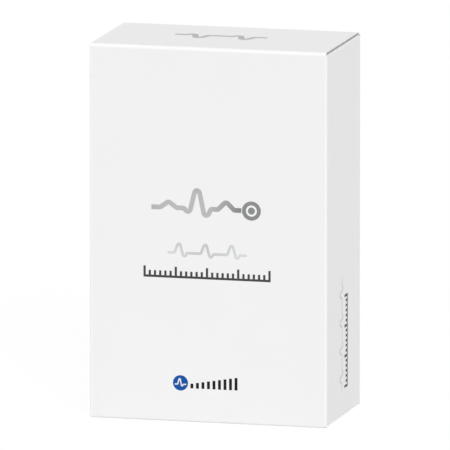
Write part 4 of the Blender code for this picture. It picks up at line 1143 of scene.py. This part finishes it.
# The socket for the patient leads, with its pins, and the data socket's tongue.
def recorderSockets():
    flange, base, wall, radius = [socket[key] for key in ("flange", "base", "wall", "pinRadius")]
    low, high, middle = placeOfNode("lead_socket")
    inset, floorLevel = Vector((flange, flange, 0)), low.z + base / 2
    rows = [(flange, low.z), (flange, low.z + base), (0, low.z + base)]
    rows += bend(-wall / 2, high.z - wall / 2, wall / 2, 0, 180, steps=10)
    rows.append((-wall, floorLevel))
    shroud = padRings("xy", low + inset, high - inset, socket["corner"], rows)
    standIn("lead_socket", [shroud], greyPlastic)
    rows = [(radius, floorLevel - radius), (radius, floorLevel + socket["pinTall"] - radius)]
    rows += bend(0, rows[-1][1], radius, 0, 85)[1:]
    columns = evenly(socket["pinColumns"], socket["pinPitch"])
    lines = evenly(socket["pinRows"], socket["rowPitch"])
    pins = [turned("xy", (middle.x + x, middle.y + y), rows, 12) for x in columns for y in lines]
    addPiece("leadPins", pins, gold)
    low, high, middle = placeOfNode("data_socket")
    clear, half = socket["tongueWall"], socket["tongueThick"] / 2
    corners = (middle.y - half, low.z + clear), (middle.y + half, high.z - clear)
    rows = [(0, low.x + clear / 2), (0, high.x - clear - half), (-half / 2, high.x - clear)]
    addPiece("dataTongue", [padRings("yz", *corners, half, rows)], resin)


power = {
    "darkShare": 0.72,  # how much of a cell's sleeve is dark
    "bandEdge": 0.0002,
    "cellEdge": 0.0006,
    "groove": 0.0003,
    "grooveFromTop": 0.0042,
    "nubRadius": 0.0019,
    "nubHeight": 0.0010,
    "wire": 0.0003,
    "springTurns": 4,
    "closing": 0.7,  # how much the end turns are closed up
    "contactCorner": 0.0010,
}


# A coil of so many turns. Its radius goes evenly from the first to the second. Its level does too,
# but slower near both ends, by the closing, so that the end turns lie close together.
def coilPath(middle, levels, radii, turns, closing=0.0):
    share = np.linspace(0, 1, turns * 24 + 1)
    angles = 2 * math.pi * turns * share
    along = share - closing * np.sin(2 * math.pi * share) / (2 * math.pi)
    radius = radii[0] + (radii[1] - radii[0]) * share
    level = levels[0] + (levels[1] - levels[0]) * along
    return middle[0] + radius * np.cos(angles), middle[1] + radius * np.sin(angles), level


# A cell: a turned can with a groove under its positive end.
def batteryCell(node, up):
    low, high, middle = placeOfNode(node)
    edge, nub, radius = power["cellEdge"], power["nubRadius"], (high.x - low.x) / 2
    flat, tip = (low.z, high.z) if up > 0 else (high.z, low.z)
    top, groove = tip - up * power["nubHeight"], tip - up * power["grooveFromTop"]
    rows = [(radius * 0.5, flat + up * edge / 4), (radius * 0.7, flat)]
    rows += bend(radius - edge, flat + up * edge, edge, 90, 0, -up)
    rows += bend(radius, groove, power["groove"], 270, 90, up, 8)[1:-1]
    rows += bend(radius - edge, top - up * edge, edge, 0, 90, up)
    rows += [(nub + edge / 2, top), (nub, top + up * edge / 4)]
    rows += bend(nub - edge / 2, tip - up * edge / 2, edge / 2, 0, 90, up)
    standIn(node, [turned("xy", middle, rows, 56)], cellSleeve(node, up))


# The two cells, the second head down, and their springs and plates.
def cellsAndContacts():
    wire = power["wire"]
    for side, up in (("left", 1), ("right", -1)):
        batteryCell("battery_cell_" + side, up)
        node = "battery_spring_" + side
        low, high, middle = placeOfNode(node)
        wide = (high.x - low.x) / 2 - wire
        radii = (wide, wide * 2 / 3) if up > 0 else (wide * 2 / 3, wide)
        levels = (low.z + wire, high.z - wire)
        path = coilPath(middle, levels, radii, power["springTurns"], power["closing"])
        rings = wireRings(np.stack(path, axis=1), wire, (0, 0, 1))
        standIn(node, [rings], steel)
        node = "battery_contact_" + side
        low, high, middle = placeOfNode(node)
        edge = (high.z - low.z) / 4
        rows = [(-edge, low.z), (0, low.z + edge), (0, high.z - edge), (-edge, high.z)]
        plate = padRings("xy", low, high, power["contactCorner"], rows)
        standIn(node, [plate], gold)


clip = {
    "wire": 0.00035,
    "turns": 5,
    "legLong": 0.0070,
    "legLean": 0.0014,
    "ribs": 6,
    "ribPitch": 0.0011,
    "ribTall": 0.0003,
    "gripShare": 0.7,  # of the clip's width
    "doorPitch": 1.5,  # times the clip's ribs' pitch
}


# The clip's spring round its pin, with one leg on the shell and one on the arm, and the grips that
# the thumb presses on the clip and on the battery door.
def clipAndGrips():
    wire, long, count, tall = [clip[key] for key in ("wire", "legLong", "ribs", "ribTall")]
    low, high, middle = placeOfNode("clip_spring")
    pin = placeOfNode("clip_pin")[2]
    radius = (high.z - low.z) / 2 - wire
    y, z, x = coilPath((0, pin.z), (low.x + wire, high.x - wire), (radius, radius), clip["turns"])
    coil = np.stack([x, pin.y - y, z], axis=1)
    along = np.linspace(0.1, 1, 6)[:, None]
    leg = along * (0, 0, -long) - along**2 * (0, clip["legLean"], 0)
    path = np.concatenate([(coil[0] + leg)[::-1], coil, coil[-1] + leg])
    standIn("clip_spring", [wireRings(path, wire, (1, 0, 0))], steel)
    low, high, middle = placeOfNode("belt_clip")
    pitch, wide = clip["ribPitch"], (high.x - low.x) * clip["gripShare"]
    span = count * pitch
    place = (middle.x, high.z - span / 2 - wire)
    grip = ribs("xz", place, wide, pitch, count, high.y, tall, 1)
    addPiece("clipGrip", grip, shellPlastic, "belt_clip")
    low, high, middle = placeOfNode("battery_door")
    place = (middle.x, low.z + span)
    grip = ribs("xz", place, wide, pitch * clip["doorPitch"], count, high.y, tall, 1)
    addPiece("doorGrip", grip, shellPlastic, "battery_door")


cover = {
    "edge": 0.0005,
    "corner": 0.0015,
    "ribs": 3,
    "ribPitch": 0.0012,
    "gripShare": 0.6,  # of the cover's width
    "bead": 0.0004,
    "bodyCorner": 0.0076,
    "sealWide": 0.0014,
}


# The rubber pieces: the data socket's cover, and the bead between the two shells.
def rubberPieces():
    low, high, middle = placeOfNode("port_cover")
    edge, pitch, count = cover["edge"], cover["ribPitch"], cover["ribs"]
    rows = [(0, low.x), *bend(-edge, high.x - 1.5 * edge, edge, 0, 90)]
    place, wide = (middle.y, high.z - pitch * count), (high.y - low.y) * cover["gripShare"]
    grip = ribs("yz", place, wide, pitch, count, high.x - edge / 2, edge / 2, 1)
    pad = padRings("yz", low, high, cover["corner"], rows)
    standIn("port_cover", [pad, *grip], rubber)
    low, high, middle = placeOfNode("shell_seal")
    bead, wide = cover["bead"], cover["sealWide"]
    rows = bend(-bead, middle.y, bead, -90, 90, steps=8)
    rows += [(-wide, high.y), (-wide, low.y), rows[0]]
    ring = padRings("xz", low, high, cover["bodyCorner"], rows, 10)
    standIn("shell_seal", [ring], rubber)


chip = {
    "corner": 0.0003,
    "edge": 0.00015,
    "legPitch": 0.0008,
    "legWide": 0.00032,
    "legThick": 0.00012,
    "legOut": 0.0012,
    "dot": 0.0005,
    "canShare": 0.32,  # of a switch's width, the radius of its plunger
    "partLong": 0.0016,
    "partWide": 0.0008,
    "partTall": 0.00045,
    "partPitch": 0.0026,
    "bodyShare": 0.55,  # of a small part's length
    "endShare": 0.25,
    "partGroups": ((4, 5), (5, 2), (7, 2)),  # columns and rows beside, under and over the chip
    "buzzerHole": 0.0009,
}


# A chip's legs: each is a strip that runs out of its side, bends down and lies flat on the board.
# The strip is worked out once, and moved and turned to its place on each of the four sides.
def chipLegs(low, high, middle, boardLevel):
    out, thick, half = chip["legOut"], chip["legThick"], chip["legWide"] / 2
    rise = middle.y - boardLevel - thick
    corners = [(-out / 4, rise), (out * 0.35, rise), (out * 0.5, thick / 2), (out, thick / 2)]
    points, normals = roundedPath(corners, [thick * 1.5] * 2, 1, None, 3)[:2]
    under = points + normals * thick
    sides = ((points, -half), (points, half), (under, half), (under, -half))
    strip = np.stack([inSpace("xz", *line.T, place) for line, place in sides], axis=1)
    reach = (high.x - low.x) / 2
    legs = []
    for across, up in ((1, 0), (0, 1), (-1, 0), (0, -1)):
        for place in evenly(int(2 * reach / chip["legPitch"] - 2), chip["legPitch"]):
            outward, beside = strip[..., 0] + reach, strip[..., 1] + place
            x = middle.x + outward * across - beside * up
            z = middle.z + outward * up + beside * across
            legs.append(np.stack([x, boardLevel + strip[..., 2], z], axis=-1))
    return legs


# The two chips with their legs and the dot that marks each one's first leg, and the memory card.
def boardChips(boardLevel):
    legs, edge, dot = [], chip["edge"], chip["dot"]
    for node in ("processor_chip", "amplifier_chip", "memory_card"):
        low, high, middle = placeOfNode(node)
        rows = [(0, low.y), *bend(-edge, high.y - edge, edge, 0, 90, 1, 2)]
        standIn(node, [padRings("xz", low, high, chip["corner"], rows)], resin)
        if node != "memory_card":
            legs += chipLegs(low, high, middle, boardLevel)
            panel = ((low.x, high.y, high.z), (1, 0, 0), (0, 0, -1), (0, 1, 0))
            mark = disc(panel, 3 * dot, 3 * dot, dot)
            addPiece(camel(node) + "Mark", [mark], greyInk)
    addPiece("chipLegs", legs, steel)


def buzzerAndSwitches():
    low, high, middle = placeOfNode("buzzer")
    radius, edge, hole = (high.x - low.x) / 2, 2 * chip["edge"], chip["buzzerHole"]
    rows = [(radius, low.y), *bend(radius - edge, high.y - edge, edge, 0, 90), (hole, high.y)]
    rows += [(hole * 0.9, high.y - 2 * edge), (hole / 20, high.y - 2 * edge)]
    standIn("buzzer", [turned("xz", middle, rows)], resin, "boardBuzzer")
    for node in ("event_switch", "back_switch", "next_switch"):
        low, high, middle = placeOfNode(node)
        thick = high.y - low.y
        rows = [(0, high.y), (0, low.y + thick / 2), (-thick / 4, low.y + thick / 3)]
        can = padRings("xz", low, high, thick / 2, rows)
        radius = (high.x - low.x) * chip["canShare"]
        rows = [(radius, middle.y), *bend(radius - thick / 6, low.y + thick / 6, thick / 6, 0, 90, -1)]
        standIn(node, [can, turned("xz", middle, rows, 28)], steel)


# Rows of small parts round the processor: each has a pale body between two bright ends.
def boardCapacitors(boardLevel):
    long, wide, tall, pitch = [chip[key] for key in ("partLong", "partWide", "partTall", "partPitch")]
    processor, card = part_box("processor_chip"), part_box("memory_card")
    bodies, ends = [], []
    body, end = chip["bodyShare"], chip["endShare"]
    kinds = ((0, body, bodies), (-1, end, ends), (1, end, ends))
    places = (
        (card[0].x + pitch / 2, processor[0].z),
        (processor[0].x, processor[0].z - 3 * pitch),
        (processor[0].x - pitch, processor[1].z + pitch),
    )
    for (left, foot), (columns, lines) in zip(places, chip["partGroups"]):
        for number in range(columns * lines):
            x, z = left + number % columns * pitch, foot + number // columns * pitch
            for shift, share, shells in kinds:
                middle = np.array((x + shift * long * (1 - end) / 2, z))
                half = np.array((long * share, wide)) / 2
                grow, top = tall / 20 * abs(shift), boardLevel + tall
                rows = [(grow, boardLevel), (grow, top), (grow - tall / 6, boardLevel + tall * 1.1)]
                shells.append(padRings("xz", middle - half, middle + half, tall / 4, rows, 2))
    addPiece("boardCapacitors", bodies, ceramic)
    addPiece("capacitorEnds", ends, steel)


# What the main board carries.
def boardPieces():
    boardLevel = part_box("main_board")[1].y
    boardChips(boardLevel)
    buzzerAndSwitches()
    boardCapacitors(boardLevel)


bezel = {
    "windowCorner": 0.0025,
    "clear": 0.0006,
    "wide": 0.0009,
    "tall": 0.0002,
    "buttonClear": 0.0006,
    "traceWide": 0.020,
    "traceTall": 0.0040,
    "traceStroke": 0.0006,
    "traceUp": 0.0085,
    "lensEdge": 0.0006,
}


# A low raised frame: a rounded bar that follows an opening's edge, closed into a loop.
def frameRows(level, clear):
    wide, tall = bezel["wide"], bezel["tall"]
    bar = bend(clear + wide - tall, level, tall, 0, 90, -1, 4)
    bar += bend(clear + tall, level, tall, 90, 180, -1, 4)
    return [(clear + wide, level + tall), *bar, (clear, level + tall), (clear + wide, level + tall)]


# What shows on the recorder's face: the frames, the printed trace and the status lens.
def faceDetails():
    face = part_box("recorder_front_shell")[0]
    low, high, middle = placeOfNode("display_window")
    rows = frameRows(face.y, bezel["clear"])
    shells = [padRings("xz", low, high, bezel["windowCorner"], rows, 8)]
    low, high, middle = placeOfNode("event_button")
    radius = (high.x - low.x) / 2 - button["flange"]
    rows = [(radius + size, level) for size, level in frameRows(face.y, bezel["buttonClear"])]
    shells.append(turned("xz", middle, rows, 64))
    addPiece("faceFrames", shells, shellPlastic)
    panel = ((0, face.y, face.z), (1, 0, 0), (0, 0, 1), (0, -1, 0))
    wide, tall, stroke = [bezel[key] for key in ("traceWide", "traceTall", "traceStroke")]
    trace = heartTrace(panel, -wide / 2, bezel["traceUp"], wide, tall, stroke)
    addPiece("faceTrace", [trace], greyInk)
    low, high, middle = placeOfNode("status_lens")
    radius, edge = (high.x - low.x) / 2, bezel["lensEdge"]
    rows = [(radius, high.y), *bend(radius - edge, low.y + edge, edge, 0, 90, -1), (radius / 20, low.y)]
    standIn("status_lens", [turned("xz", middle, rows)], window)


guide = {
    "traceWide": 0.060,
    "traceTall": 0.024,
    "stroke": 0.0022,
    "staple": 0.0060,  # half a staple's length
    "wire": 0.00025,
}


# The trace on the guide's cover, and the staples in its fold, whose ends sink into the paper.
def guideDetails():
    low, high, middle = placeOfNode("guide_cover")
    panel = ((middle.x, low.y, middle.z), (1, 0, 0), (0, 0, 1), (0, -1, 0))
    wide, half, wire = guide["traceWide"], guide["staple"], guide["wire"]
    trace = heartTrace(panel, -wide / 2, 0, wide, guide["traceTall"], guide["stroke"])
    addPiece("guideTrace", [trace], blueInk)
    rise = np.linspace(-half, half, 13)
    sunk = wire * 1.4 * np.clip((np.abs(rise) - half + 2 * wire) / (2 * wire), 0, 1) ** 2
    wires = []
    for level in middle.z + evenly(2, (high.z - low.z) / 2):
        points = inSpace("yz", middle.y, level + rise, low.x - wire / 2 + sunk)
        wires.append(wireRings(points, wire, (0, 1, 0)))
    addPiece("guideStaples", wires, steel)


recorderButtons()
holdSwitch()
shellScrews()
recorderSockets()
cellsAndContacts()
clipAndGrips()
rubberPieces()
boardPieces()
faceDetails()
guideDetails()
print("recorder and guide detailed")

# Floor, light and camera

studio = {
    "floorHalf": 40.0,
    "floorLevel": -0.00005,  # a hair below the carton, so that their surfaces don't coincide
    "floorColour": (0.755, 0.755, 0.755),
    "floorWhite": 1.06,  # what the camera sees of the floor, mixed over its lit surface
    "floorShare": 0.86,
    "skyLevel": 0.67,  # the light that comes evenly from all round
    "sunPower": 1.31,
    "sunFrom": (0.156, -0.3290, 0.199),
    "sunSize": 30,  # degrees across
}


# 1 for what the camera, a mirror or a clear piece sees, and 0 for the light itself.
def cameraShare(tree):
    path = addNode(tree, "ShaderNodeLightPath").outputs
    seen = path["Is Camera Ray"]
    for other in ("Is Glossy Ray", "Is Transmission Ray"):
        seen = mathOf("MAXIMUM", seen, path[other])
    return seen


def floor():
    line = np.linspace(-studio["floorHalf"], studio["floorHalf"], 5)
    points = inSpace("xy", *np.meshgrid(line, line, indexing="ij"), studio["floorLevel"])
    place = np.arange(line.size**2).reshape(line.size, line.size)
    corners = (place[:-1, :-1], place[1:, :-1], place[1:, 1:], place[:-1, 1:])
    faces = np.stack(corners, axis=-1).reshape(-1, 4)
    mesh = bpy.data.meshes.new("studioFloor")
    mesh.from_pydata(points.reshape(-1, 3).tolist(), [], faces.tolist())
    material, tree, shader = newFinish("floorPaint", studio["floorColour"], 0.9, Specular_IOR_Level=0.0)
    light = {"Color": (1, 1, 1, 1), "Strength": studio["floorWhite"]}
    glow = addNode(tree, "ShaderNodeEmission", light)
    share = mathOf("MULTIPLY", cameraShare(tree), studio["floorShare"])
    both = {0: share, 1: shader.outputs["BSDF"], 2: glow.outputs["Emission"]}
    mix = addNode(tree, "ShaderNodeMixShader", both)
    feed(tree.nodes["Material Output"], Surface=mix.outputs["Shader"])
    mesh.materials.append(material)
    linked("studioFloor", mesh)


def lights():
    world = bpy.data.worlds.new("studioWorld")
    bpy.context.scene.world = world
    world.use_nodes = True
    tree = world.node_tree
    sky = (studio["skyLevel"],) * 3
    feed(tree.nodes["Background"], Color=mixOf(cameraShare(tree), sky, (1, 1, 1)))
    sun = bpy.data.lights.new("softSun", "SUN")
    sun.energy = studio["sunPower"]
    sun.angle = math.radians(studio["sunSize"])
    lamp = linked("softSun", sun)
    lamp.rotation_mode = "QUATERNION"
    lamp.rotation_quaternion = Vector(studio["sunFrom"]).to_track_quat("Z", "Y")


view = {
    "azimuth": 14.6,  # degrees to the right of square on
    "elevation": 9.94,
    "distance": 8.64,  # the photograph has next to no perspective
    "seen": 0.2137,  # what the frame takes in at the carton
    "sensor": 36.0,
    "aimRight": -0.0001,
    "aimUp": -0.0003,
    "clip": (0.1, 200),
}


def camera():
    around, over = math.radians(view["azimuth"]), math.radians(view["elevation"])
    right = Vector((math.cos(around), math.sin(around), 0))
    flat = math.cos(over)
    back = Vector((math.sin(around) * flat, -math.cos(around) * flat, math.sin(over)))
    up = back.cross(right)
    middle = (Vector(cadBox[0]) + Vector(cadBox[1])) / 2
    aim = middle + right * view["aimRight"] + up * view["aimUp"]
    data = bpy.data.cameras.new("photoCamera")
    data.sensor_width = view["sensor"]
    data.lens = view["sensor"] * view["distance"] / view["seen"]
    data.clip_start, data.clip_end = view["clip"]
    made = linked("photoCamera", data)
    made.location = aim + back * view["distance"]
    made.rotation_mode = "QUATERNION"
    made.rotation_quaternion = back.to_track_quat("Z", "Y")
    bpy.context.scene.camera = made


floor()
lights()
camera()
bpy.context.scene.view_settings.view_transform = "Standard"
print("studio set")
